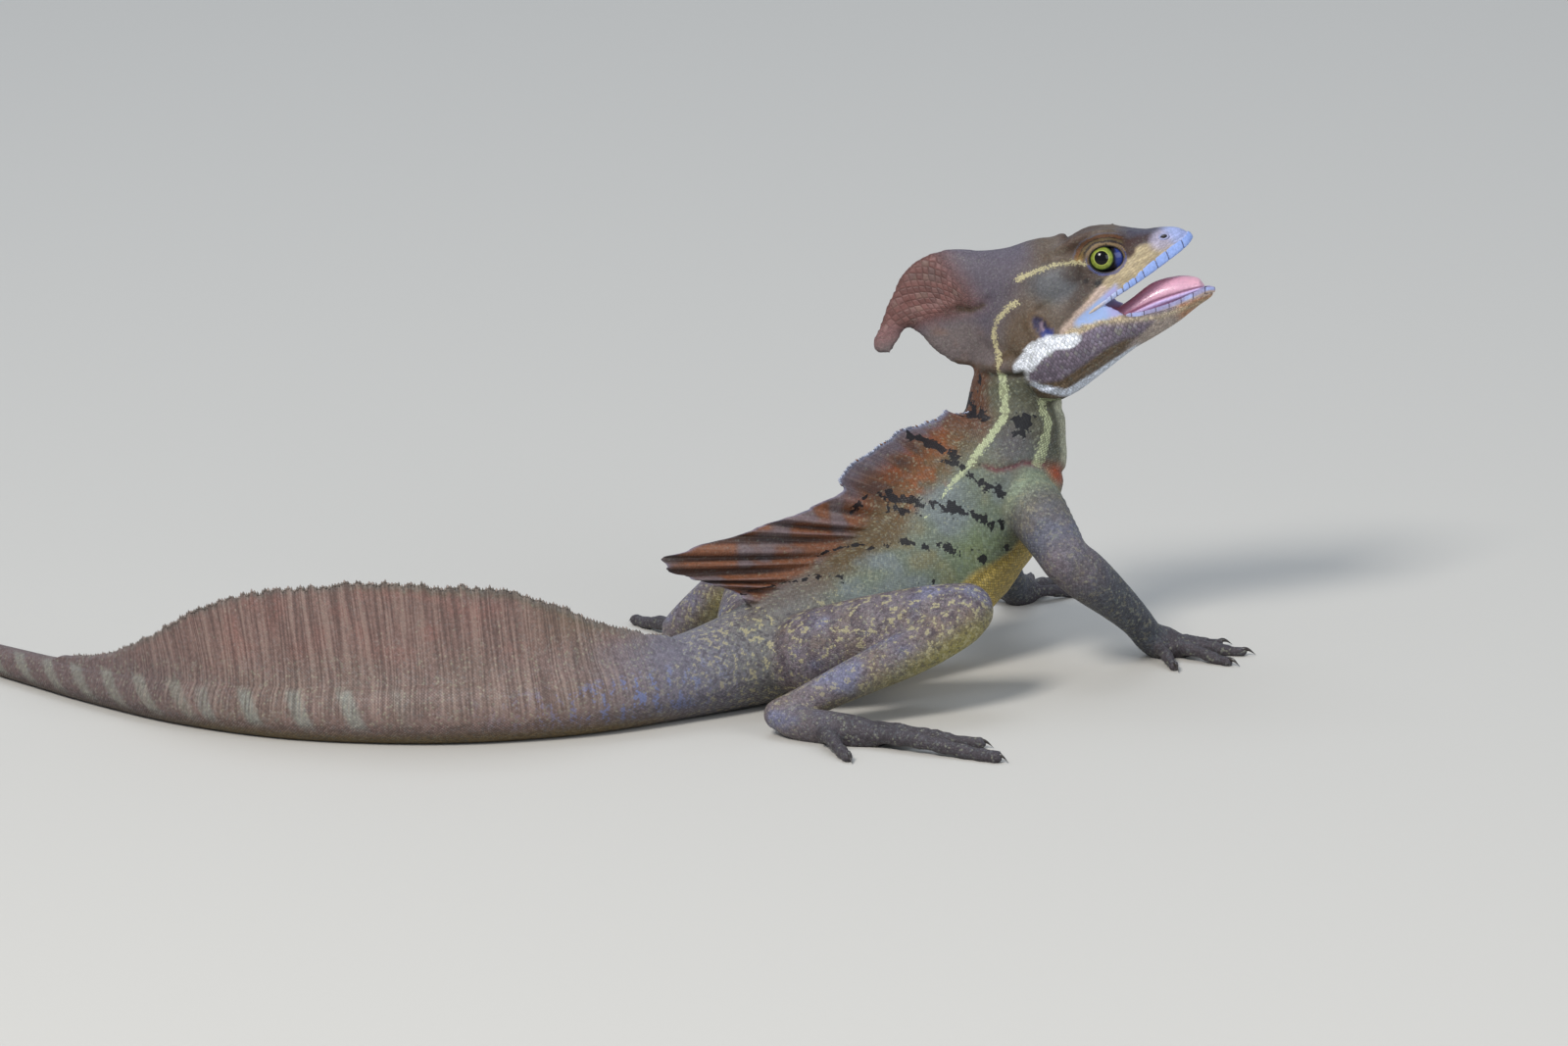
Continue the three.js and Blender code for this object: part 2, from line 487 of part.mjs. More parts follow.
function headForms(grow = 0) {
  const lids = bothSides((sign) => {
    const size = EYE.radius + GAP + LID + grow;
    return ellipsoid(size, size, size, EYE.x, sign * EYE.y, EYE.z);
  });
  const brows = bothSides((sign) =>
    ridge(
      [vec(16, sign * 4.3, 9.8), vec(11.5, sign * 7.2, 14.2), vec(5, sign * 9.0, 17.9), vec(-2, sign * 8.6, 19.0), vec(-8, sign * 7.2, 19.0)],
      1.05 + grow,
      3,
      10,
    ),
  );
  const lips = ridge(lipLine(SKULL, 6.2, "lip", "lipZ", 0.4, 1.1), 1.15 + grow, 3, 24);
  return join([skull(grow), lips, ...lids, ...brows]);
}

function headSolid() {
  let made = headForms();
  for (const sign of [-1, 1]) {
    const socket = EYE.radius + GAP;
    const opening = new THREE.CylinderGeometry(1, 1, 8, 20)
      .scale(OPENING.length, 1, OPENING.height)
      .translate(EYE.x, sign * (EYE.y + 6.5), EYE.z);
    made = made
      .subtract(ellipsoid(socket, socket, socket, EYE.x, sign * EYE.y, EYE.z))
      .subtract(fromGeometry(opening))
      .subtract(ellipsoid(1.25, 1.3, 0.75, NOSTRIL.x, sign * NOSTRIL.y, NOSTRIL.z, -20))
      .subtract(ellipsoid(EAR.length, EAR.depth, EAR.height, EAR.x, sign * EAR.y, EAR.z, EAR.turn));
  }
  return made;
}

function eyeball(sign) {
  return inHead(
    fromGeometry(
      new THREE.SphereGeometry(EYE.radius, 16, 10)
        .rotateX(Math.PI / 2)
        .translate(EYE.x, sign * EYE.y, EYE.z),
    ),
  );
}

// The crest: two faces that meet along its outline, swelling towards the skull.
function headCrest() {
  const outline = new THREE.CatmullRomCurve3(
    CREST_OUTLINE.map(([x, z]) => vec(x, 0, z)),
    true,
  ).getPoints(2 * CREST_OUTLINE.length);
  outline.pop();
  const axisPoint = (p) => {
    const [x0, z0] = CREST_AXIS_FRONT;
    const [x1, z1] = CREST_AXIS_REAR;
    const share = ((p.x - x0) * (x1 - x0) + (p.z - z0) * (z1 - z0)) / ((x1 - x0) ** 2 + (z1 - z0) ** 2);
    const t = Math.min(Math.max(share, 0), 1);
    return vec(lerp(x0, x1, t), 0, lerp(z0, z1, t));
  };
  const swell = (x, z) => {
    const far = Math.hypot(x - CREST_BASE.x, z - CREST_BASE.z) / CREST_BASE.reach;
    return 1.2 + CREST_BASE.half * Math.exp(-far * far);
  };
  const n = outline.length;
  const points = [];
  const faces = [];
  const face = (sign, row) =>
    outline.map((edge) => {
      const share = row / CREST_RINGS;
      const p = axisPoint(edge).lerp(edge, share);
      const half = Math.max(swell(p.x, p.z) * Math.sqrt(1 - share ** 2.6), share < 1 ? CREST_EDGE : 0);
      return vec(p.x, sign * half, p.z);
    });
  const rows = [];
  for (let row = 1; row < CREST_RINGS; row++) rows.push(face(-1, row));
  rows.push(face(1, CREST_RINGS));
  for (let row = CREST_RINGS - 1; row > 0; row--) rows.push(face(1, row));
  points.push(...rows.flat());
  for (let i = 0; i + 1 < rows.length; i++) {
    for (let j = 0; j < n; j++) {
      const a = i * n + j;
      const b = i * n + ((j + 1) % n);
      if (i < rows.length / 2 - 0.5) faces.push(a, b, b + n, a, b + n, a + n);
      else faces.push(a, b, a + n, b, b + n, a + n);
    }
  }
  const centre = vec(lerp(CREST_AXIS_FRONT[0], CREST_AXIS_REAR[0], 0.5), 0, lerp(CREST_AXIS_FRONT[1], CREST_AXIS_REAR[1], 0.5));
  const middle = (sign) => vec(centre.x, sign * swell(centre.x, centre.z), centre.z);
  const first = points.push(middle(-1)) - 1;
  const last = points.push(middle(1)) - 1;
  const end = (rows.length - 1) * n;
  for (let j = 0; j < n; j++) {
    const k = (j + 1) % n;
    faces.push(first, k, j, last, end + j, end + k);
  }
  return solid(points, faces);
}

// A limb's length: round sections through its points, with rounded ends.
function limbTube(points, sides, grow = 0, perSpan = 2) {
  const centres = new THREE.CatmullRomCurve3(points.map(([x, y, z]) => vec(x, y, z)));
  const radii = points.map((p) => p[3] + grow);
  const spans = points.length - 1;
  const frameAt = (u) => {
    const t = u * spans;
    const along = centres.getTangent(u);
    const side = along.clone().cross(vec(0, 0, 1)).normalize();
    return { centre: centres.getPoint(u), along, side, top: side.clone().cross(along), radius: smooth(radii, t) };
  };
  const ringAt = (f, size, shift) => {
    const s = { half: f.radius * size, up: f.radius * size, down: f.radius * size };
    return sectionRing(f.centre.clone().addScaledVector(f.along, shift * f.radius), f.side, f.top, s, sides);
  };
  const start = frameAt(0);
  const end = frameAt(1);
  const rings = [
    ringAt(start, 0.45, -0.85),
    ringAt(start, 0.8, -0.55),
    ...steps(0, 1, perSpan * spans).map((u) => ringAt(frameAt(u), 1, 0)),
    ringAt(end, 0.8, 0.55),
    ringAt(end, 0.45, 0.85),
  ];
  return loft(rings);
}

// A toe that arches from the palm to the floor, with its claw.
function toe({ from, heading, length, radius }) {
  const [x, y, z] = from;
  const way = vec(Math.cos(rad(heading)), Math.sin(rad(heading)), 0);
  const place = (share, height, r) => {
    const p = vec(x, y, 0).addScaledVector(way, share * length);
    return [p.x, p.y, height, r];
  };
  const rest = radius * 0.8 - FLOOR_SINK;
  const line = [
    place(-0.12, z, radius),
    place(0.22, radius + TOE_ARCH * 0.75, radius * 1.05),
    place(0.5, radius + TOE_ARCH * 0.45, radius * 0.95),
    place(0.8, rest + 0.25, radius * 0.85),
    place(1, rest, radius * 0.8),
  ];
  const tip = vec(x, y, rest).addScaledVector(way, length);
  const claw = [0, 0.35, 0.7, 1].map((u) => {
    const centre = tip.clone().addScaledVector(way, CLAW_LENGTH * u - 0.6);
    centre.z += 0.9 * Math.sin(Math.PI * u) - rest * 0.72 * u * u;
    const r = Math.max(CLAW_RADIUS * (1 - u), 0.12);
    const side = vec(-way.y, way.x, 0);
    return sectionRing(centre, side, vec(0, 0, 1), { half: r * 0.8, up: r, down: r }, 5);
  });
  return limbTube(line, TOE_SIDES, 0, 1).add(loft(claw));
}

function foot(spec) {
  const palm = limbTube(spec.palm, 10, 0, 1);
  return join([palm, ...spec.toes.map(toe)]);
}

// The whole animal
const group = new THREE.Group();

function addNode(name, made, finish) {
  const mesh = largest(made.asOriginal().simplify(SLIVER)).getMesh();
  const count = mesh.numProp;
  const positions = new Float32Array(mesh.numVert * 3);
  for (let i = 0; i < mesh.numVert; i++) {
    positions.set(mesh.vertProperties.subarray(i * count, i * count + 3), i * 3);
  }
  const geometry = new THREE.BufferGeometry()
    .setAttribute("position", new THREE.BufferAttribute(positions, 3))
    .setIndex(new THREE.BufferAttribute(mesh.triVerts, 1));
  const node = new THREE.Mesh(geometry, new THREE.MeshStandardMaterial(finish));
  node.name = name;
  group.add(node);
}

// Body, cut across into its lengths
const torsoGrown = bodyPiece(TAIL_BASE_TOP - 1.2, TORSO_TOP + 1.4, 22, GAP);
addNode("tail_end", bodyLength(TAIL_TIP, TAIL_END_TOP, 16, 14), BROWN);
addNode("tail_middle", bodyLength(TAIL_END_TOP, TAIL_MIDDLE_TOP, 12, TAIL_SIDES), BROWN);
addNode("tail_base", bodyLength(TAIL_MIDDLE_TOP, TAIL_BASE_TOP, 10, TAIL_SIDES), BROWN);
addNode("torso", bodyLength(TAIL_BASE_TOP, TORSO_TOP, 16), OLIVE);

// Sails
const tailGrown = bodyPiece(5.9, 12.6, 26, GAP);
addNode("back_sail", sail(BACK_SAIL, BACK_RAYS, BACK_ROWS).subtract(torsoGrown), RUST);
const tailFront = sail(TAIL_SAIL, TAIL_RAYS[0], TAIL_ROWS, TAIL_SAIL[0].at, TAIL_SAIL_CUT + 0.005);
const tailRear = sail(TAIL_SAIL, TAIL_RAYS[1], TAIL_ROWS, TAIL_SAIL_CUT - 0.005);
addNode("tail_sail_front", tailFront.subtract(tailGrown), RUST);
addNode("tail_sail_rear", tailRear.subtract(tailGrown), RUST);

// Head, jaw, tongue and eyes
const headWhole = inHead(headSolid());
const headGrown = inHead(headForms(GAP));
const crest = inHead(headCrest());
const neckRaw = bodyLength(TORSO_TOP, NECK_TOP, 10);
const neckGrown = bodyPiece(TORSO_TOP - 0.2, NECK_TOP, 10, GAP);
const jawForms = (grow) =>
  inJaw(join([jawBone(grow), ridge(lipLine(JAW, 4.8, "lip", "lipZ", 0.3, -0.4), 1.0 + grow, 3, 22)]));
const jawWhole = jawForms(0);
const jawGrown = jawForms(GAP);
addNode("head", headWhole, BROWN);
addNode("head_crest", crest.subtract(headGrown).subtract(neckGrown).subtract(jawGrown), RUST);
addNode("lower_jaw", jawWhole.subtract(headGrown), BROWN);
addNode("neck", neckRaw.subtract(headGrown).subtract(jawGrown), OLIVE);
const tongueRings = steps(0, TONGUE.length - 1, 2 * (TONGUE.length - 1)).map((t) => {
  const s = stationAt(TONGUE, t);
  return sectionRing(vec(s.x, 0, s.z), vec(0, -1, 0), vec(0, 0, 1), s, 14);
});
addNode("tongue", inJaw(loft(tongueRings)).subtract(jawGrown), PINK);
addNode("eye_right", eyeball(-1), IRIS);
addNode("eye_left", eyeball(1), IRIS);

// Limbs
for (const [name, spec] of Object.entries(LIMBS)) {
  const hind = name.startsWith("hind");
  const upper = limbTube(spec.root, LIMB_SIDES);
  const upperGrown = limbTube(spec.root, LIMB_SIDES, GAP);
  const lower = limbTube(spec.shin, LIMB_SIDES);
  const lowerGrown = limbTube(spec.shin, LIMB_SIDES, GAP);
  const cut = (made) => made.subtract(torsoGrown).subtract(floorSlab);
  addNode(name + (hind ? "_thigh" : "_upper_arm"), cut(upper), hind ? OLIVE : SLATE);
  addNode(name + (hind ? "_shank" : "_forearm"), cut(lower.subtract(upperGrown)), SLATE);
  addNode(name + (hind ? "_foot" : "_hand"), cut(foot(spec).subtract(lowerGrown)), SLATE);
}

export default group;
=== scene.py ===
# %% [markdown]
# # A common basilisk, life size
# An adult male of the common or brown basilisk, propped on its fore legs with its mouth open.
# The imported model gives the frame. Everything is worked out in millimetres and put into
# Blender in metres, in the frame's own axes: +X towards the head, the floor at z = 0.

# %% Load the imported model
import itertools
from types import SimpleNamespace

import bpy
import numpy as np
from mathutils import Matrix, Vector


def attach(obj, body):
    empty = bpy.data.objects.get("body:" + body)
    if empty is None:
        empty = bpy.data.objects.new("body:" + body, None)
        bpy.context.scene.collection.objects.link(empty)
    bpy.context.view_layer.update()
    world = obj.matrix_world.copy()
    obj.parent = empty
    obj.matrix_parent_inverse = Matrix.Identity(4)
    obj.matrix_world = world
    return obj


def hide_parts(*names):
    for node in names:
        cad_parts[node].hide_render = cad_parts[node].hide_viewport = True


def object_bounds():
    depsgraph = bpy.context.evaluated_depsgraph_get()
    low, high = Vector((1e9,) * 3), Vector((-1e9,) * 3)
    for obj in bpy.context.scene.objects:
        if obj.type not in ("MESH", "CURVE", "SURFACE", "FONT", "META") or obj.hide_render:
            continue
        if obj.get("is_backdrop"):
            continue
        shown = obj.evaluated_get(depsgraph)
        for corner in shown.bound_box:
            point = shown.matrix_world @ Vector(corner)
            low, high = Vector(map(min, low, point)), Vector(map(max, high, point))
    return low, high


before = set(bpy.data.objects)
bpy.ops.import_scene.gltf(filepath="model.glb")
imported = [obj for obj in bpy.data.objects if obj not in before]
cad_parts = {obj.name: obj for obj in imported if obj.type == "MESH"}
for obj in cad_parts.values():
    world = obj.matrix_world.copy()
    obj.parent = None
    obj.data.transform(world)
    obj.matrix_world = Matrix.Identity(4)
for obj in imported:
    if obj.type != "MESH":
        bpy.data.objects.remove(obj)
cad_box = [list(corner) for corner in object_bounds()]
print("nodes", len(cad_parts))
MM = 0.001

# %% [markdown]
# ## Camera
# The photograph was taken from a few metres away with a long lens, square to the animal's
# right side, from a little above, and with the camera rolled slightly. The camera's axes are
# built from those three angles, and its lens from the scale at the animal.

# %% Camera
ELEVATION = np.radians(14.0)
ROLL = np.radians(2.5)
DISTANCE = 4000.0
PIXELS_A_MM = 3.8
IMAGE = (1600, 1067)
ORIGIN_PIXEL = (787.0, 714.0)
SENSOR_WIDTH = 36.0
upright = np.array([0, np.sin(ELEVATION), np.cos(ELEVATION)])
level = np.array([1.0, 0, 0])
cam_right = np.cos(ROLL) * level - np.sin(ROLL) * upright
cam_up = np.sin(ROLL) * level + np.cos(ROLL) * upright
cam_back = np.cross(cam_right, cam_up)
offset_x = (IMAGE[0] / 2 - ORIGIN_PIXEL[0]) / PIXELS_A_MM
offset_y = (ORIGIN_PIXEL[1] - IMAGE[1] / 2) / PIXELS_A_MM
cam_place = offset_x * cam_right + offset_y * cam_up + DISTANCE * cam_back


def new_object(name, data):
    """A new object at the origin, linked to the scene."""
    made = bpy.data.objects.new(name, data)
    bpy.context.scene.collection.objects.link(made)
    return made


def set_pose(made, right, up, back, place):
    """Turns an object to three square axes and moves it to a place in metres."""
    pose = np.eye(4)
    pose[:3] = np.column_stack([right, up, back, place])
    made.matrix_world = Matrix(pose.tolist())


camera_data = bpy.data.cameras.new("camera")
camera = new_object("camera", camera_data)
set_pose(camera, cam_right, cam_up, cam_back, cam_place * MM)
camera_data.sensor_width = SENSOR_WIDTH
camera_data.lens = SENSOR_WIDTH * PIXELS_A_MM * DISTANCE / IMAGE[0]
camera_data.clip_start = 0.1
camera_data.clip_end = 50
bpy.context.scene.camera = camera
print("lens", round(camera_data.lens, 1))

# %% [markdown]
# ## Sums that the shapes share
# Every form comes from a few named stations. A smooth cubic curve runs through all of them, for
# one number or for whole rows of numbers at once. Its slope at a station is half the step from
# the station before to the one after, so it never leaves the stations.


# %% Curves, directions and noise
def cubic(a, b, c, d, f):
    """The smooth cubic from b to c at share f, where a comes before them and d after."""
    return b + 0.5 * f * (c - a + f * (2 * a - 5 * b + 4 * c - d + f * (3 * (b - c) + d - a)))


def smooth(values, t):
    """Smooth cubic curve through rows of values at fractional indices t."""
    values = np.asarray(values, float)
    t = np.asarray(t, float)
    last = len(values) - 1
    i = np.clip(np.floor(t).astype(int), 0, last - 1)
    shape = t.shape + (1,) * (values.ndim - 1)
    f = (t - i).reshape(shape)
    b = values[i]
    c = values[i + 1]
    a = np.where((i > 0).reshape(shape), values[np.maximum(i - 1, 0)], 2 * b - c)
    d = np.where((i + 2 <= last).reshape(shape), values[np.minimum(i + 2, last)], 2 * c - b)
    return cubic(a, b, c, d, f)


def circle(count):
    """That many angles, evenly spaced round a full turn."""
    return np.linspace(0, 2 * np.pi, count, endpoint=False)


def run_along(points):
    """Millimetres run along a broken line: the lengths of its steps, added up from 0."""
    return np.concatenate([[0], np.cumsum(np.linalg.norm(np.diff(points, axis=0), axis=1))])


def unit(v):
    """Vectors divided by their lengths."""
    return v / np.maximum(np.linalg.norm(v, axis=-1, keepdims=True), 1e-9)


def ease(x, low, high):
    """0 below low, 1 above high, and the smooth cubic 3x^2 - 2x^3 between."""
    x = np.clip((x - low) / (high - low), 0, 1)
    return x * x * (3 - 2 * x)


def fade(x, low, high):
    """1 below low, 0 above high: 1 - ease."""
    return 1 - ease(x, low, high)


def hump(x, middle, width):
    """The bell exp(-((x - middle) / width)^2)."""
    return np.exp(-(((x - middle) / width) ** 2))


def hashed(cells, seed):
    """A repeatable number from 0 to 1 for each whole-number cell: the fraction of a large sine."""
    v = cells[..., 0] * 127.1 + cells[..., 1] * 311.7 + cells[..., 2] * 74.7 + seed * 17.31
    v = np.sin(v) * 43758.5453
    return v - np.floor(v)


def noise(points, size, seed=0):
    """Smooth noise from -1 to 1: hashed values at the corners of cubes of that size, blended."""
    p = np.asarray(points, float) / size
    base = np.floor(p)
    f = p - base
    f = f * f * (3 - 2 * f)
    total = np.zeros(p.shape[:-1])
    for corner in itertools.product((0, 1), repeat=3):
        corner = np.array(corner)
        total += np.prod(np.where(corner, f, 1 - f), axis=-1) * hashed(base + corner, seed)
    return 2 * total - 1


# %% [markdown]
# A tube is a grid of rings with a point in the middle of each end. A sheet is the same grid,
# left open along its edges or closed round. The mesh maker turns a closed form outside out
# where its signed volume, the sum of a . (b x c) / 6, comes out negative.


# %% Grids to meshes
def grid_faces(rows, columns, closed=True):
    """Quads between neighbouring rows and columns of a grid, wrapping round if closed."""
    last = columns if closed else columns - 1
    i, j = np.meshgrid(np.arange(rows - 1), np.arange(last), indexing="ij")
    here = i * columns + j
    beside = i * columns + (j + 1) % columns
    return np.stack([here, beside, beside + columns, here + columns], -1).reshape(-1, 4)


def tube(rings):
    """Points and faces of a closed tube from an array of rings (rows, columns, 3)."""
    rows, columns = rings.shape[:2]
    points = np.concatenate([rings.reshape(-1, 3), [rings[0].mean(0)], [rings[-1].mean(0)]])
    j = np.arange(columns)
    k = (j + 1) % columns
    first = np.stack([np.full(columns, rows * columns), k, j], -1)
    end = (rows - 1) * columns
    last = np.stack([np.full(columns, rows * columns + 1), end + j, end + k], -1)
    return points, grid_faces(rows, columns).tolist() + first.tolist() + last.tolist()


def joined(parts):
    """One list of points and one of faces from several (points, faces) pairs."""
    points, faces, start = [], [], 0
    for p, f in parts:
        points.append(p)
        faces += [[v + start for v in face] for face in f]
        start += len(p)
    return np.concatenate(points), faces


def volume(points, faces):
    """Signed volume: the sum over triangles of a . (b x c) / 6."""
    tri = np.array([(f[0], f[n], f[n + 1]) for f in faces for n in range(1, len(f) - 1)])
    a, b, c = points[tri[:, 0]], points[tri[:, 1]], points[tri[:, 2]]
    return float((a * np.cross(b, c)).sum() / 6)


def outward(part):
    """The same closed part with its faces turned outwards."""
    points, faces = part
    if volume(points, faces) < 0:
        faces = [f[::-1] for f in faces]
    return points, faces


def make_object(name, points, faces):
    """A smooth-shaded mesh object at the origin, its points given in millimetres."""
    mesh = bpy.data.meshes.new(name)
    mesh.from_pydata((np.asarray(points) * MM).tolist(), [], faces)
    mesh.polygons.foreach_set("use_smooth", np.ones(len(mesh.polygons), bool))
    mesh.update()
    return new_object(name, mesh)


def give(made, name, values):
    """Stores three numbers for each vertex as an attribute of the mesh."""
    layer = made.data.attributes.new(name, "FLOAT_VECTOR", "POINT")
    layer.data.foreach_set("vector", np.asarray(values, np.float32).ravel())


# %% [markdown]
# ## The body line
# One line runs from the tip of the tail to the back of the skull. At each station the section
# is a rounded one with its own half width and heights above and below the line. The stations
# are the ones that the solids were made from, so that the skin lies on them.

# %% Body stations
# x, y, z, heading in degrees, half width, height above, height below
BODY = np.array([
    (-430, 158, 0.9, 13, 0.7, 0.8, 1.0),  # tail tip
    (-388, 168, 1.5, 0, 1.4, 1.7, 1.7),
    (-338, 167, 2.1, -8, 2.0, 2.4, 2.3),
    (-292, 152, 2.7, -25, 2.6, 3.1, 2.9),
    (-255, 124, 3.2, -43, 3.1, 3.6, 3.4),
    (-228, 88, 3.6, -52, 3.5, 4.0, 3.8),
    (-203, 55, 4.1, -52, 4.0, 4.6, 4.3),
    (-181, 27, 5.0, -49, 4.6, 5.6, 5.2),
    (-156, 1, 6.1, -40, 5.4, 6.8, 6.3),
    (-125, -19, 7.3, -22, 6.4, 8.2, 7.6),
    (-87, -29, 8.4, -2, 7.8, 9.4, 8.7),
    (-52, -26, 9.4, 14, 9.4, 10.0, 9.7),
    (-23, -13, 11.2, 26, 11.6, 10.8, 11.5),  # vent
    (0, 0, 14.2, 30, 14.0, 13.8, 14.5),  # hips
    (17, 9.8, 17.9, 30, 15.4, 16.6, 17.6),  # loin
    (35, 20.2, 24.3, 30, 16.2, 19.0, 22.0),  # middle of the trunk
    (48.7, 28.1, 36, 30, 16.0, 19.2, 24.2),  # chest
    (61, 35, 50, 29, 14.6, 17.6, 22.2),  # shoulders
    (67, 38.4, 63.5, 24, 11.4, 13.8, 17.2),  # neck base
    (67.5, 39.4, 74.5, 14, 9.6, 9.8, 12.4),  # neck
    (71, 39, 84.5, 4, 10.2, 9.6, 10.6),
    (78, 38, 93, 0, 9.4, 8.8, 9.4),  # back of the skull
])
BODY_END = len(BODY) - 1


def body_frame(t):
    """Centre, along, side, top, half width, up and down of the body line at fractional stations."""
    row = smooth(BODY, t)
    step = smooth(BODY, np.minimum(t + 0.02, BODY_END)) - smooth(BODY, np.maximum(t - 0.02, 0))
    along = unit(step[..., :3])
    heading = np.radians(row[..., 3])
    flat = np.stack([np.sin(heading), -np.cos(heading), 0 * heading], -1)
    side = unit(flat - along * (flat * along).sum(-1, keepdims=True))
    top = unit(np.cross(side, along))
    return row[..., :3], along, side, top, row[..., 4], row[..., 5], row[..., 6]


def rings_round(centre, side, top, half, up, down, count):
    """Rings: centre + side half sin(a) + top h cos(a), with h = up above and down below."""
    a = circle(count)
    height = np.where(np.cos(a) > 0, up[:, None], down[:, None]) * np.cos(a)
    across = half[:, None] * np.sin(a)
    return centre[:, None] + side[:, None] * across[..., None] + top[:, None] * height[..., None]


stations = np.linspace(0, BODY_END, 420)
centre, along, side, top, half, up, down = body_frame(stations)
body_part = tube(rings_round(centre, side, top, half, up, down, 64))
print("body line stations", len(BODY))

# %% [markdown]
# ## The head's frame
# The head is pitched up and leans a little to the animal's left. Its own x runs forward along
# the upper lip from the corner of the mouth, z square to it, and y to the animal's left. The
# lower jaw turns about a joint behind the corner of the mouth.

# %% Head and jaw frames
HEAD_PLACE = np.array([96.2, 38.0, 97.6])
HEAD_PITCH = np.radians(35)
HEAD_ROLL = np.radians(10)
JAW_JOINT = np.array([-19.0, 0.0, 1.0])
GAPE = np.radians(22)


def turn_y(a):
    """The matrix that turns by an angle about y, from z towards x."""
    return np.array([[np.cos(a), 0, np.sin(a)], [0, 1, 0], [-np.sin(a), 0, np.cos(a)]])


def turn_x(a):
    """The matrix that turns by an angle about x, from y towards z."""
    return np.array([[1, 0, 0], [0, np.cos(a), -np.sin(a)], [0, np.sin(a), np.cos(a)]])


HEAD_TURN = turn_y(-HEAD_PITCH) @ turn_x(-HEAD_ROLL)
JAW_TURN = turn_y(GAPE)


def from_head(points):
    """Points of the head's frame in the part's frame: turned, then moved."""
    return points @ HEAD_TURN.T + HEAD_PLACE


def from_jaw(points):
    """Points of the jaw's frame in the part's frame, by way of the head's."""
    return from_head(points @ JAW_TURN.T + JAW_JOINT)


def to_head(points):
    """Points of the part's frame in the head's frame: moved back, then turned back."""
    return (points - HEAD_PLACE) @ HEAD_TURN


def to_jaw(points):
    """Points of the part's frame in the jaw's frame, by way of the head's."""
    return (to_head(points) - JAW_JOINT) @ JAW_TURN


print("jaw joint at", from_head(JAW_JOINT).round(1).tolist())


# %% [markdown]
# ## Skull and jaw
# Each section of the skull is a smooth curve through its corners: crown, brow, orbit, cheek,
# lip and palate. The surface is a function of the station along the head and of the place
# round the section, so that plates and lips can later be laid on the same function.

# %% Skull and jaw sections
# x, crown, brow, brow z, orbit, orbit z, cheek, cheek z, lip, lip z, palate
SKULL = np.array([
    (27.2, 2.6, 0.9, 2.3, 1.5, 1.7, 1.8, 0.8, 1.3, 0.2, 0.4),
    (25.6, 4.9, 2.0, 4.5, 3.3, 3.3, 3.9, 1.6, 3.5, -0.4, 0.5),
    (22.4, 7.3, 3.0, 6.8, 4.5, 4.6, 5.6, 2.0, 5.3, -0.6, 0.9),
    (17.0, 10.4, 4.4, 9.9, 5.7, 6.6, 7.7, 2.4, 7.5, -0.6, 1.5),
    (12.0, 14.4, 6.9, 14.3, 6.6, 9.0, 9.2, 2.8, 9.0, -0.5, 1.9),
    (6.0, 18.3, 8.9, 18.4, 7.3, 10.6, 10.4, 3.4, 10.2, -0.2, 2.3),
    (0.0, 19.6, 8.9, 19.2, 8.4, 11.4, 11.6, 4.0, 11.3, 0.2, 2.2),
    (-7.0, 21.6, 8.0, 19.0, 10.4, 12.0, 12.8, 5.0, 12.2, 0.6, 1.6),
    (-14.0, 23.0, 7.2, 19.8, 11.6, 12.4, 13.5, 5.4, 12.6, 0.4, 0.0),
    (-21.0, 23.0, 6.4, 19.6, 11.2, 12.6, 12.8, 5.4, 11.6, -0.6, -2.0),
    (-28.0, 21.4, 5.2, 17.8, 9.2, 11.6, 10.6, 5.2, 9.2, -0.4, -2.4),
    (-33.5, 17.5, 3.6, 15.2, 6.4, 10.6, 7.2, 6.0, 6.0, 1.2, -0.6),
])
# x, lip, lip z, side, side z, throat, throat z, floor
JAW = np.array([
    (45.4, 1.1, 2.0, 1.2, 1.2, 0.8, 0.6, 1.6),
    (43.6, 2.9, 2.5, 3.2, 0.8, 1.8, -0.4, 1.2),
    (40.0, 5.1, 2.0, 5.5, 0.0, 3.0, -1.7, 0.0),
    (34.0, 7.4, 1.1, 7.9, -1.0, 4.4, -4.3, -1.0),
    (26.5, 9.3, 0.9, 10.0, -1.8, 5.6, -6.6, -1.0),
    (21.6, 10.3, 1.9, 11.2, -2.2, 6.2, -7.9, -0.2),
    (17.4, 11.1, 5.6, 12.1, -2.6, 6.8, -9.5, 1.6),
    (10.0, 11.6, 5.8, 13.2, -3.2, 7.4, -12.6, 3.6),
    (2.0, 11.6, 5.0, 13.6, -4.0, 7.6, -15.6, 4.6),
    (-5.0, 9.8, 2.6, 12.4, -4.6, 7.0, -15.9, 3.0),
    (-10.5, 6.4, -1.4, 8.4, -5.2, 4.8, -10.8, -1.4),
])


def skull_surface(t, k):
    """Right half of the skull: station t along it, and k from 0 at the crown to 7 at the palate."""
    s = smooth(SKULL, t)
    columns = np.moveaxis(s, -1, 0)
    x, crown, brow, brow_z, orbit, orbit_z, cheek, cheek_z, lip, lip_z, palate = columns
    ys = np.stack([0 * x, brow * 0.55, brow, orbit, cheek, lip, lip * 0.6, 0 * x])
    zs = np.stack([crown, crown, brow_z, orbit_z, cheek_z, lip_z, palate, palate])
    return corner_curve(x, ys, zs, k)


def jaw_surface(t, k):
    """Right half of the jaw: station t along it, and k from 0 at its floor to 6 under the throat."""
    s = smooth(JAW, t)
    x, lip, lip_z, wide, wide_z, throat, throat_z, floor = np.moveaxis(s, -1, 0)
    low = wide_z + (throat_z - wide_z) * 0.62
    ys = np.stack([0 * x, lip * 0.7, lip, wide, throat * 1.35, throat * 0.6, 0 * x])
    zs = np.stack([floor, floor, lip_z, wide_z, low, throat_z, throat_z])
    return corner_curve(x, ys, zs, k)


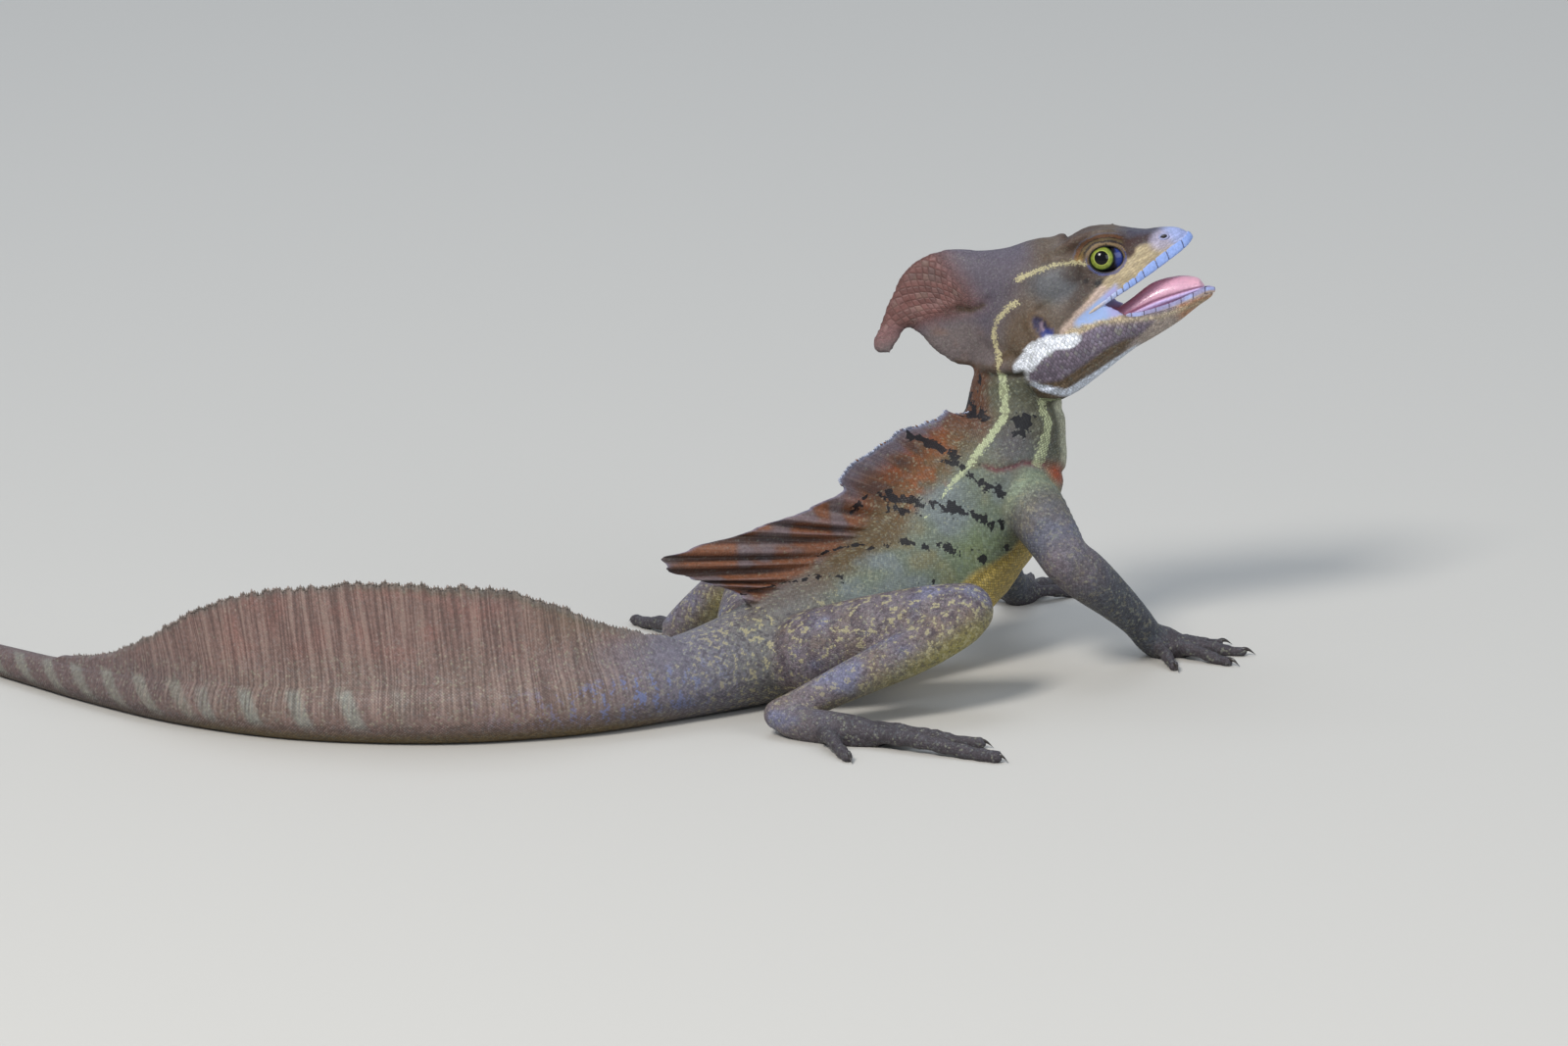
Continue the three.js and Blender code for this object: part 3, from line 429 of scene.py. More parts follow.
def corner_curve(x, ys, zs, k):
    """Points (x, -y, z), where y and z are smooth cubics through the corners at index k."""
    last = len(ys) - 1
    k = np.broadcast_to(k, x.shape)
    i = np.clip(np.floor(k).astype(int), 0, last - 1)
    f = k - i

    def through(v):
        def pick(index):
            return np.take_along_axis(v, np.clip(index, 0, last)[None], 0)[0]

        b, c = pick(i), pick(i + 1)
        a = np.where(i > 0, pick(i - 1), 2 * b - c)
        d = np.where(i + 2 <= last, pick(i + 2), 2 * c - b)
        return cubic(a, b, c, d, f)

    return np.stack([x, -np.maximum(through(ys), 0), through(zs)], -1)


def both_halves(surface, rows, last_row, last_corner, columns):
    """A closed tube from a right half and its mirror image."""
    places = np.linspace(0, last_row, rows), np.linspace(0, last_corner, columns)
    t, k = np.meshgrid(*places, indexing="ij")
    right = surface(t, k)
    left = right[:, 1:-1][:, ::-1] * [1, -1, 1]
    return tube(np.concatenate([right, left], 1))


skull_part = both_halves(skull_surface, 110, len(SKULL) - 1, 7, 60)
jaw_part = both_halves(jaw_surface, 100, len(JAW) - 1, 6, 50)
print("skull points", len(skull_part[0]), "jaw points", len(jaw_part[0]))


# %% [markdown]
# ## Lids, brows and muscles
# Balls and tapering ridges laid over the skull round it out: the bulge of the lids, the brow
# ridge over each eye, and the temple muscle behind it.

# %% Balls and ridges
CAP_RINGS = 6
ALMOST_UP = [0.013, 0.021, 1.0]  # no limb or ridge runs exactly this way


def ball(centre, radii, turn=np.eye(3), rows=24, columns=36):
    """A closed ellipsoid: centre + turn (rx sin u cos v, ry sin u sin v, rz cos u)."""
    u, v = np.meshgrid(np.linspace(0.08, np.pi - 0.08, rows), circle(columns), indexing="ij")
    p = np.stack([np.sin(u) * np.cos(v), np.sin(u) * np.sin(v), np.cos(u)], -1) * radii
    return tube(p @ np.asarray(turn).T + centre)


def limb_tube(line, columns=40, rows=60):
    """A round tube through rows of x, y, z and radius, closed by half a ball at each end."""
    line = np.asarray(line, float)
    last = len(line) - 1
    t = np.linspace(0, last, rows)
    row = smooth(line, t)
    step = smooth(line, np.minimum(t + 0.05, last)) - smooth(line, np.maximum(t - 0.05, 0))
    along = unit(step[:, :3])
    side = unit(np.cross(along, ALMOST_UP))
    top = np.cross(side, along)
    cap = np.linspace(0, 1, CAP_RINGS + 1)[:-1] * np.pi / 2
    size = np.concatenate([np.sin(cap) * 0.999 + 0.001, np.ones(rows), np.cos(cap)])
    shift = np.concatenate([-np.cos(cap), np.zeros(rows), np.sin(cap)])
    index = np.concatenate([np.zeros(CAP_RINGS, int), np.arange(rows), np.full(CAP_RINGS, rows - 1)])
    radius = row[index, 3]
    middle = row[index, :3] + along[index] * (shift * radius)[:, None]
    radius = radius * size
    return tube(rings_round(middle, side[index], top[index], radius, radius, radius, columns))


EYE = np.array([5.2, 4.9, 10.0])
EYE_RADIUS = 4.9
LID_THICKNESS = 1.15
TEMPLE = np.array([-8.5, 8.6, 12.2])
TEMPLE_RADII = np.array([8.2, 4.6, 6.0])
# x, y, z and radius along the ridge over the eye
BROW_RIDGE = np.array([
    (18, 4.1, 9.0, 0.6), (14, 5.8, 12.2, 0.95), (10, 7.9, 15.6, 1.15),
    (4.5, 9.1, 18.0, 1.3), (-2, 8.6, 19.0, 1.2), (-9, 7.0, 19.4, 0.8),
])
head_parts = [skull_part]
for sign in (-1, 1):
    flip = np.array([1, sign, 1])
    head_parts.append(ball(EYE * flip, np.full(3, EYE_RADIUS + LID_THICKNESS)))
    head_parts.append(limb_tube(BROW_RIDGE * [1, sign, 1, 1], 16, 40))
    head_parts.append(ball(TEMPLE * flip, TEMPLE_RADII))
head_points, head_faces = joined([outward(p) for p in head_parts])
print("head points", len(head_points))

# %% [markdown]
# ## The crest of the head
# A tall blade of skin on the crown, rounded above and with a hanging tip behind. It is a sheet
# between its outline and a middle line, and its thickness swells where it leaves the skull.

# %% Crest
# x and z in the head's frame, from the crown back round the rim to the neck
CREST_OUTLINE = np.array([
    (-1.0, 19.6), (-3.6, 23.2), (-8.0, 25.6), (-14.6, 27.9), (-20.4, 31.3), (-26.4, 36.2), (-33.0, 38.9),
    (-40.0, 39.1), (-47.2, 36.0), (-53.4, 32.1), (-58.6, 29.0), (-59.5, 25.8), (-56.6, 24.0), (-53.0, 25.5),
    (-49.2, 26.8), (-47.3, 23.4), (-46.6, 17.5), (-44.6, 11.6), (-41.2, 7.6), (-35.8, 3.4), (-29.5, 5.5),
])
CREST_AXIS = np.array([(-10.0, 17.0), (-50.0, 29.0)])
CREST_BASE = np.array([-14.0, 12.0])
CREST_THIN = 1.1
CREST_SWELL = 9.2
CREST_REACH = 21.0
CREST_EDGE = 0.85
MIRROR = np.array([1.0, -1.0, 1.0])


def closed_curve(points, count):
    """Smooth cubic curve round a closed outline, at count places."""
    wrapped = np.concatenate([points[-2:], points, points[:3]])
    return smooth(wrapped, 2 + np.linspace(0, len(points), count, endpoint=False))


def crest_half(p):
    """Half thickness: CREST_THIN + CREST_SWELL exp(-(distance from the base / CREST_REACH)^2)."""
    far = np.linalg.norm(p - CREST_BASE, axis=-1) / CREST_REACH
    return CREST_THIN + CREST_SWELL * np.exp(-far * far)


outline = closed_curve(CREST_OUTLINE, 220)
axis_step = CREST_AXIS[1] - CREST_AXIS[0]
share = np.clip(((outline - CREST_AXIS[0]) @ axis_step) / (axis_step @ axis_step), 0, 1)
spine = CREST_AXIS[0] + share[:, None] * axis_step
rows = np.linspace(0.03, 1, 30)
flat_points = spine[None] + (outline - spine)[None] * rows[:, None, None]
fall = np.sqrt(np.clip(1 - rows[:, None] ** 2.6, 0, 1))
thick = np.maximum(crest_half(flat_points) * fall, CREST_EDGE)
near_face = np.stack([flat_points[..., 0], -thick, flat_points[..., 1]], -1)
far_face = (near_face * MIRROR)[::-1]
crest_part = tube(np.concatenate([near_face, far_face]))
print("crest is", round(float(np.ptp(outline[:, 0]))), "mm long")

# %% [markdown]
# ## Limbs
# Each limb is two fleshy lengths, a palm and five toes. A toe arches from the palm, swells at
# its joints and comes to rest on the floor. The hind foot has the long fourth toe of a runner.

# %% Limb lines
# root, shin and palm: x, y, z and radius; each toe: x, y, z, heading in degrees, length, radius
LIMBS = {
    "fore_right": {
        "root": [(62, 33, 49, 6.5), (71, 26, 45.5, 8.4), (77, 15, 38.6, 7.4), (80.5, 7, 33.6, 6.6)],
        "shin": [(80.5, 7, 33.6, 6.6), (86, 11, 27.6, 6.8), (94, 19, 18.2, 5.4), (99, 24.5, 11.6, 4.5),
                 (101.5, 27, 7.6, 4.2)],
        "palm": [(100.6, 26.2, 8.4, 3.9), (103.4, 28.2, 5.2, 4.4), (107, 29.2, 3.0, 4.9),
                 (110.6, 28.6, 2.0, 4.0)],
        "toes": [(103.6, 31.8, 2.6, 62, 9.5, 1.7), (108.4, 31.2, 2.2, 18, 14, 1.75),
                 (109.4, 29, 2.2, -12, 18.5, 1.8), (108.8, 26.6, 2.2, -38, 18.5, 1.8),
                 (105.4, 24.8, 2.4, -74, 12.5, 1.7)],
    },
    "fore_left": {
        "root": [(58, 39, 50, 6.5), (57.5, 51, 45, 8.4), (56, 62, 37, 7.4), (55, 70.5, 31, 6.6)],
        "shin": [(55, 70.5, 31, 6.6), (58, 75, 25, 6.8), (63, 82, 16, 5.4), (66, 87, 9.6, 4.5),
                 (67, 89, 7, 4.2)],
        "palm": [(66.6, 88, 8, 3.9), (68, 91, 5, 4.4), (69.6, 94.6, 3.0, 4.9), (70.4, 98, 2.0, 4.0)],
        "toes": [(65.6, 92.6, 2.6, 140, 9.5, 1.7), (67.6, 97.4, 2.2, 110, 14, 1.75),
                 (70.2, 98, 2.2, 82, 18.5, 1.8), (72.4, 96.4, 2.2, 58, 18.5, 1.8),
                 (73.4, 93, 2.4, 22, 12.5, 1.7)],
    },
    "hind_right": {
        "root": [(2, -3, 13, 9), (11, -9, 15, 11.2), (27, -14, 20.5, 10.4), (43, -17, 25.5, 8.4),
                 (53, -18, 27, 7.4)],
        "shin": [(53, -18, 27, 7.4), (49.6, -22.5, 24.4, 6.9), (38, -27.5, 19, 6.4), (22, -31.5, 13, 5.3),
                 (8, -35, 7.6, 4.4), (2, -37, 5.6, 4.2)],
        "palm": [(2.4, -37, 5.4, 4.0), (6, -40.4, 4.2, 4.4), (14, -45, 3.4, 4.8), (22, -49, 2.6, 4.8),
                 (26.5, -51, 2.2, 4.0)],
        "toes": [(16, -42.5, 2.6, 8, 13, 1.9), (23.5, -46.6, 2.4, -8, 20, 2.0),
                 (25.5, -49.4, 2.3, -20, 31, 2.1),
                 (24.6, -52.2, 2.3, -34, 41, 2.2), (13, -47.6, 2.8, -72, 21, 2.0)],
    },
    "hind_left": {
        "root": [(-3, 5, 13, 9), (-3, 15, 15.5, 11), (-2, 28, 20, 10.2), (0, 39.5, 23.5, 8.4),
                 (1, 46, 24.5, 7.4)],
        "shin": [(1, 46, 24.5, 7.4), (-3, 49, 23, 7.2), (-10, 52.5, 18.5, 6.4), (-18, 56, 12.4, 5.1),
                 (-23.5, 58.6, 7.4, 4.3), (-25, 59.4, 5.6, 4.1)],
        "palm": [(-25, 59, 5.4, 4.0), (-23.4, 63.4, 4.2, 4.4), (-19.6, 71.4, 3.4, 4.8),
                 (-15.6, 78.8, 2.6, 4.8),
                 (-13.6, 82.4, 2.2, 4.0)],
        "toes": [(-14.6, 72.4, 2.6, 26, 13, 1.9), (-11.8, 78, 2.4, 44, 20, 2.0),
                 (-11.6, 81.8, 2.3, 56, 31, 2.1),
                 (-14.4, 83.8, 2.3, 70, 41, 2.2), (-23.2, 68.4, 2.8, 124, 23, 2.0)],
    },
}
TOE_ARCH = 1.7
CLAW_LENGTH = 4.6
CLAW_RADIUS = 0.95


def toe_line(x, y, z, heading, length, radius):
    """Places and radii along a toe: out along its heading, up over its joint and down to the floor."""
    way = np.array([np.cos(np.radians(heading)), np.sin(np.radians(heading))])
    rest = radius * 0.8 - 0.3
    shares = np.array([-0.12, 0.22, 0.5, 0.8, 1.0])
    heights = np.array([z, radius + TOE_ARCH * 0.75, radius + TOE_ARCH * 0.45, rest + 0.25, rest])
    radii = radius * np.array([1, 1.05, 0.95, 0.85, 0.8])
    flat = np.array([x, y]) + shares[:, None] * length * way
    return np.column_stack([flat, heights, radii]), way, rest


def knuckled(line, length):
    """The toe's line with its radius swelling and narrowing about every 5 mm."""
    t = np.linspace(0, len(line) - 1, 26)
    fine = smooth(line, t)
    fine[:, 3] *= 1 + 0.09 * np.cos(2 * np.pi * t / (len(line) - 1) * max(round(length / 5.5), 2))
    return fine


limb_parts = []
claw_specs = []
for limb in LIMBS.values():
    limb_parts += [limb_tube(limb["root"]), limb_tube(limb["shin"]), limb_tube(limb["palm"], 32, 30)]
    for x, y, z, heading, length, radius in limb["toes"]:
        line, way, rest = toe_line(x, y, z, heading, length, radius)
        limb_parts.append(limb_tube(knuckled(line, length), 24, 60))
        claw_specs.append((np.array([x, y, rest]) + np.append(way, 0) * length, way, rest))
print("claws", len(claw_specs))

# %% [markdown]
# ## One skin
# The forms overlap, so a voxel remesh fuses them into one surface: it lays a fine lattice over
# them and rebuilds the outside. Joining them by hand would need a seam at every limb. It leaves
# a crease at each join and stairs everywhere, which come out next.


# %% Fuse the forms
def moved(part, to_place):
    """A closed part with its faces outwards and its points taken to another frame."""
    points, faces = outward(part)
    return to_place(points), faces


VOXEL = 0.92
head_world = from_head(head_points), head_faces
all_parts = [outward(body_part), head_world, moved(jaw_part, from_jaw), moved(crest_part, from_head)]
all_parts += [outward(p) for p in limb_parts]
rough = make_object("rough_skin", *joined(all_parts))
remesh = rough.modifiers.new("fuse", "REMESH")
remesh.mode = "VOXEL"
remesh.voxel_size = VOXEL * MM
bpy.context.view_layer.update()
fused = bpy.data.meshes.new_from_object(rough.evaluated_get(bpy.context.evaluated_depsgraph_get()))
bpy.data.objects.remove(rough)
count = len(fused.vertices)
points = np.empty(count * 3)
fused.vertices.foreach_get("co", points)
points = points.reshape(-1, 3) / MM
edges = np.empty(len(fused.edges) * 2, np.int64)
fused.edges.foreach_get("vertices", edges)
edges = edges.reshape(-1, 2)
print("skin points", count, "faces", len(fused.polygons))

# %% [markdown]
# The surface is relaxed: each point moves towards the mean of its neighbours, and then back out
# by a little more. So the creases and stairs fade, and the toes keep their thickness.

# %% Relax the surface
RELAX_STEPS = 14
RELAX_IN = 0.55
RELAX_OUT = 0.57
degree = np.maximum(np.bincount(edges.ravel(), minlength=count), 1)


def mean_of_neighbours(values):
    """The sum over the edges that meet at each vertex, divided by their number."""
    one, other = edges.T
    total = [np.bincount(one, v[other], count) + np.bincount(other, v[one], count) for v in values.T]
    return np.stack(total, 1) / degree[:, None]


before = points
for _ in range(RELAX_STEPS):
    points = points + RELAX_IN * (mean_of_neighbours(points) - points)
    points = points - RELAX_OUT * (mean_of_neighbours(points) - points)
print("mean move", round(float(np.linalg.norm(points - before, axis=1).mean()), 3), "mm")


# %% [markdown]
# ## Where each point lies
# Markings follow the animal and not the room, so each point of the skin learns where it is:
# its station on the body line and its angle round it, its place in the head's and the jaw's
# frames, and how far along a limb and round it the point is.

# %% Places on the body
BLOCK = 8000  # points compared at a time, to keep the tables small


def nearest_on_line(line_points, query):
    """Index of the nearest point of a line for each query point, worked in blocks."""
    best = np.empty(len(query), int)
    squares = (line_points ** 2).sum(1)
    for start in range(0, len(query), BLOCK):
        block = query[start:start + BLOCK]
        best[start:start + BLOCK] = (squares - 2 * block @ line_points.T).argmin(1)
    return best


fine_t = np.linspace(0, BODY_END, 1400)
fine_centre, fine_along, fine_side, fine_top, fine_half, fine_up, fine_down = body_frame(fine_t)
arc = run_along(fine_centre)
fine_girth = (fine_half + fine_up + fine_down) / 3
near = nearest_on_line(fine_centre, points)
lean = ((points - fine_centre[near]) * fine_along[near]).sum(1)
gap = points - fine_centre[near] - fine_along[near] * lean[:, None]
body_mm = arc[near] + lean
body_at = np.interp(body_mm, arc, fine_t)
across = (gap * fine_side[near]).sum(1) / fine_half[near]
height = (gap * fine_top[near]).sum(1)
height = height / np.where(height > 0, fine_up[near], fine_down[near])
body_round = np.degrees(np.arctan2(np.abs(across), height))
girth = fine_girth[near]
body_far = (np.hypot(across, height) - 1) * girth
print("body line", round(float(arc[-1])), "mm long")

# %% [markdown]
# A limb has its own line, so a point near it gets a share from the root to the wrist, the
# millimetres along and round it, and its distance. Toes count as one place beyond the wrist.

# %% Places on the limbs
LIMB_STEPS = (("root", 70), ("shin", 70), ("palm", 24))
TOE_SHARE = 1.15
limb_far = np.full(count, 1e9)
limb_place = np.zeros((count, 4))  # share from root to wrist, hind or not, mm along, mm round
for name, limb in LIMBS.items():
    lengths = [smooth(limb[part], np.linspace(0, len(limb[part]) - 1, steps)) for part, steps in LIMB_STEPS]
    line = np.concatenate(lengths)
    which = nearest_on_line(line[:, :3], points)
    away = points - line[which, :3]
    far = np.linalg.norm(away, axis=1) - line[which, 3]
    run = run_along(line[:, :3])
    ahead = unit(np.gradient(line[:, :3], axis=0))
    beside = unit(np.cross(ahead, ALMOST_UP))
    above = np.cross(beside, ahead)
    angle = np.abs(np.arctan2((away * beside[which]).sum(1), (away * above[which]).sum(1)))
    toe_rows = np.concatenate([smooth(toe_line(*toe)[0], np.linspace(0, 4, 30)) for toe in limb["toes"]])
    which_toe = nearest_on_line(toe_rows[:, :3], points)
    toe_far = np.linalg.norm(points - toe_rows[which_toe, :3], axis=1) - toe_rows[which_toe, 3]
    share = np.where(toe_far < far - 0.3, TOE_SHARE, which / len(line))
    far = np.minimum(far, toe_far)
    is_hind = np.full(count, float(name.startswith("hind")))
    found = np.column_stack([share, is_hind, run[which], angle * line[which, 3]])
    limb_place = np.where((far < limb_far)[:, None], found, limb_place)
    limb_far = np.minimum(far, limb_far)
limb_share, hind, limb_mm, limb_round = limb_place.T
print("points nearer than 1 mm to a limb", int((limb_far < 1).sum()))

# %% [markdown]
# Each point is shared out between body, limb and head. The shares run smoothly into each
# other, as skin does over a shoulder, but the rear edge of the crest is a sharp one.

# %% Shares of limb, head and body
# lower edge of the crest behind the ear, x and z in the head's frame
FLAP_EDGE = [(-52.0, 15.0), (-41.2, 8.0), (-39.3, 5.7), (-35.3, 2.1), (-31.7, -0.4), (-28.0, -2.4)]
limb_weight = ease(body_far - limb_far, -1.0, 2.6) * (limb_far < 6)
in_head = to_head(points)
in_jaw = to_jaw(points)
head_weight = ease(body_far, 0.2, 2.0) * (body_at > 18.8) * (limb_far > 3)
head_weight = np.maximum(head_weight, ease(in_head[:, 0], -16, -10) * (body_at > 19))
above_flap = 0.75 * (in_head[:, 2] - np.interp(in_head[:, 0], *np.transpose(FLAP_EDGE)))
under_crest = (in_head[:, 0] > -44) & (in_head[:, 0] < -16) & (body_at > 18.6)
head_weight = np.maximum(head_weight, ease(above_flap, -0.1, 0.3) * under_crest)
body_only = (1 - limb_weight) * (1 - head_weight)
print("points on limbs", int((limb_weight > 0.5).sum()), "on the head", int((head_weight > 0.5).sum()))

# %% [markdown]
# ## Pits and folds
# The eye socket, the ear and the folds of loose skin are pressed into the surface. A fold is a
# broken line, and the push falls off with the distance from it. Unlike a sculpted fold, it can
# be moved, and used again by the paint.


# %% Distances on the surface
def line_distance(x, y, line):
    """Distance of points (x, y) to the nearest place on a broken line, and the share along it."""
    line = np.asarray(line, float)
    best = np.full(np.shape(x), 1e9)
    place = np.zeros(np.shape(x))
    for n in range(len(line) - 1):
        start, step = line[n], line[n + 1] - line[n]
        f = np.clip(((x - start[0]) * step[0] + (y - start[1]) * step[1]) / (step @ step), 0, 1)
        far = np.hypot(x - start[0] - f * step[0], y - start[1] - f * step[1])
        place = np.where(far < best, n + f, place)
        best = np.minimum(best, far)
    return best, place / (len(line) - 1)


def on_body(mark):
    """A line given in stations and degrees, in millimetres along the body and round it."""
    at, degrees = np.transpose(np.asarray(mark, float))
    round_mm = np.radians(degrees) * np.interp(at, fine_t, fine_girth)
    return np.column_stack([np.interp(at, fine_t, arc), round_mm])


hx, hy, hz = in_head[:, 0], np.abs(in_head[:, 1]), in_head[:, 2]
jx, jy, jz = in_jaw[:, 0], np.abs(in_jaw[:, 1]), in_jaw[:, 2]
side_sign = np.sign(in_head[:, 1])
body_y = np.radians(body_round) * girth
print("head reaches", round(float(hx.max()), 1), "mm before the corner of the mouth")

# %% [markdown]
# The lids' opening and the ear are ovals in the head's side view. A distance of 1 means the
# oval's own rim, so a pit is a step down inside 1, and a rim or a lid fold is a bell near it.

# %% Sockets, ear and folds of the head
# x, z and the two radii, before the lids' oval is turned
LID_OVAL = (6.25, 9.5, 4.6, 3.6)
LID_TURN = np.radians(-31)
EAR_OVAL = (-18.4, 5.4, 1.7, 3.4)
lid_along = (hx - LID_OVAL[0]) * np.cos(LID_TURN) + (hz - LID_OVAL[1]) * np.sin(LID_TURN)
lid_above = (hz - LID_OVAL[1]) * np.cos(LID_TURN) - (hx - LID_OVAL[0]) * np.sin(LID_TURN)
lid_ring = np.hypot(lid_along / LID_OVAL[2], lid_above / LID_OVAL[3])
ear_ring = np.hypot((hx - EAR_OVAL[0]) / EAR_OVAL[2], (hz - EAR_OVAL[1]) / EAR_OVAL[3])
push = -fade(lid_ring, 0.9, 1.08) * (hy > 6) * np.maximum(hy - 6.5, 0)
push -= 0.4 * hump(lid_ring, 1.36, 0.07) * (hy > 5) * ease(lid_above, 0, 1.5)
push -= 1.9 * fade(ear_ring, 0.45, 1.2) * (hy > 5)
push += 0.35 * hump(ear_ring, 1.45, 0.25) * (hy > 5)
crest_pit = np.hypot((hx + 45.1) / 1.6, (hz - 31.5) / 1.0)
push -= 0.5 * fade(crest_pit, 0.5, 1.3)
fold_far, _ = line_distance(hx, hz, [(-34.6, 22.6), (-31.6, 20.0), (-28.2, 19.2), (-25.6, 19.6)])
push -= 0.8 * hump(fold_far, 0, 0.8)
fold_far, _ = line_distance(hx, hz, [(-14.8, 9.6), (-18.5, 9.8), (-22.2, 7.4), (-24, 3.0)])
push -= 0.5 * hump(fold_far, 0, 0.8)
fold_far, _ = line_distance(jx, jz, [(-7, -11.4), (0, -12.0), (8, -9.2), (15, -6.6), (20, -5.6)])
push -= (0.7 * hump(fold_far, 0, 0.6) - 0.3 * hump(fold_far, 1.3, 0.6)) * (hz < 4)
fold_far, _ = line_distance(hx, hz, [(-34.3, 8.3), (-32.4, 8.9), (-31.0, 8.3), (-29.6, 5.6), (-28.7, 2.0)])
push -= 0.5 * hump(fold_far, 0, 0.6) * (hy > 4)
push = push * head_weight
flap_side = under_crest * ease(in_head[:, 0], -43, -40) * fade(in_head[:, 0], -31, -28) * ease(hy, 2, 5)
push += flap_side * (0.9 * hump(above_flap, 1.3, 1.3) - 1.3 * hump(above_flap, -0.8, 0.9))
points = points + ((push * side_sign)[:, None] * [0, 1.0, 0]) @ HEAD_TURN.T
print("deepest push on the head", round(float(-push.min()), 1), "mm")

# %% [markdown]
# On the trunk the skin hangs in long loose folds, above all before the shoulder and under the
# throat. They are pressed towards the body line, with fine ripples between them.

# %% Folds of the trunk
inward = unit(fine_centre[near] - points)
# line in stations and degrees round, width and depth in mm
FOLDS = [
    ([(17.05, 50), (17.12, 68), (17.44, 90), (17.54, 112), (17.5, 175)], 0.9, 0.9),
    ([(16.59, 152), (16.61, 135), (16.39, 121), (16.02, 113), (15.61, 107), (15.2, 106), (14.7, 108)],
     0.8, 0.75),
    ([(17.79, 20), (17.39, 43), (17.09, 59), (16.87, 77)], 0.6, 0.35),
    ([(19.24, 40), (18.98, 54), (18.67, 67)], 0.6, 0.35),
    ([(19.08, 72), (18.8, 87), (18.45, 102), (18.3, 175)], 0.8, 0.6),
    ([(18.2, 100), (17.9, 98), (17.6, 102)], 0.7, 0.4),
    ([(12.9, 40), (13.2, 66), (13.7, 88), (14.3, 100)], 0.8, 0.5),
]
for fold, width, depth in FOLDS:
    far, _ = line_distance(body_mm, body_y, on_body(fold))
    points = points + inward * (depth * hump(far, 0, width) * body_only)[:, None]
ripple = noise(np.column_stack([body_mm, body_y * 0.35, side_sign * 30]), 5.0, 4)
trunk = ease(body_at, 12.5, 14) * body_only
wrinkle = np.sin(limb_mm * 2.6 + 1.5 * ripple) * hump(limb_share, 0.2, 0.16) * (1 - hind) * limb_weight
points = points + inward * (0.3 * ripple * trunk + 0.3 * wrinkle)[:, None]
points[:, 2] = np.maximum(points[:, 2], 0.02)
print("lowest point", round(float(points[:, 2].min()), 2))

# %% [markdown]
# ## Painting the skin
# The broad colours are laid on point by point, as a painter lays glazes: each one is a colour
# and a cover from 0 to 1 that is a smooth function of the places above. An image would need an
# unwrapped map. The fine scales, specks and sharp edges are left to the material.


# %% Paint helpers
def srgb(code):
    """A colour written as six hex digits, as three linear numbers."""
    c = np.array([int(code[n:n + 2], 16) for n in (0, 2, 4)]) / 255
    return np.where(c <= 0.04045, c / 12.92, ((c + 0.055) / 1.055) ** 2.4)


def spread(code, count):
    """One colour for every one of count points."""
    return np.tile(srgb(code), (count, 1))


def layers(paint, *coats):
    """The paint with colours laid over it in turn, each moved towards by its cover."""
    for code, cover in coats:
        paint = paint + (srgb(code) - paint) * np.clip(cover, 0, 1)[:, None]
    return paint


# %% [markdown]
# The trunk is olive with rust along the back, the neck darker, the belly yellow, the tail mauve
# brown with pale bands. Noise breaks up every border. The same function paints the foot of the
# sails later, so that no border shows there.


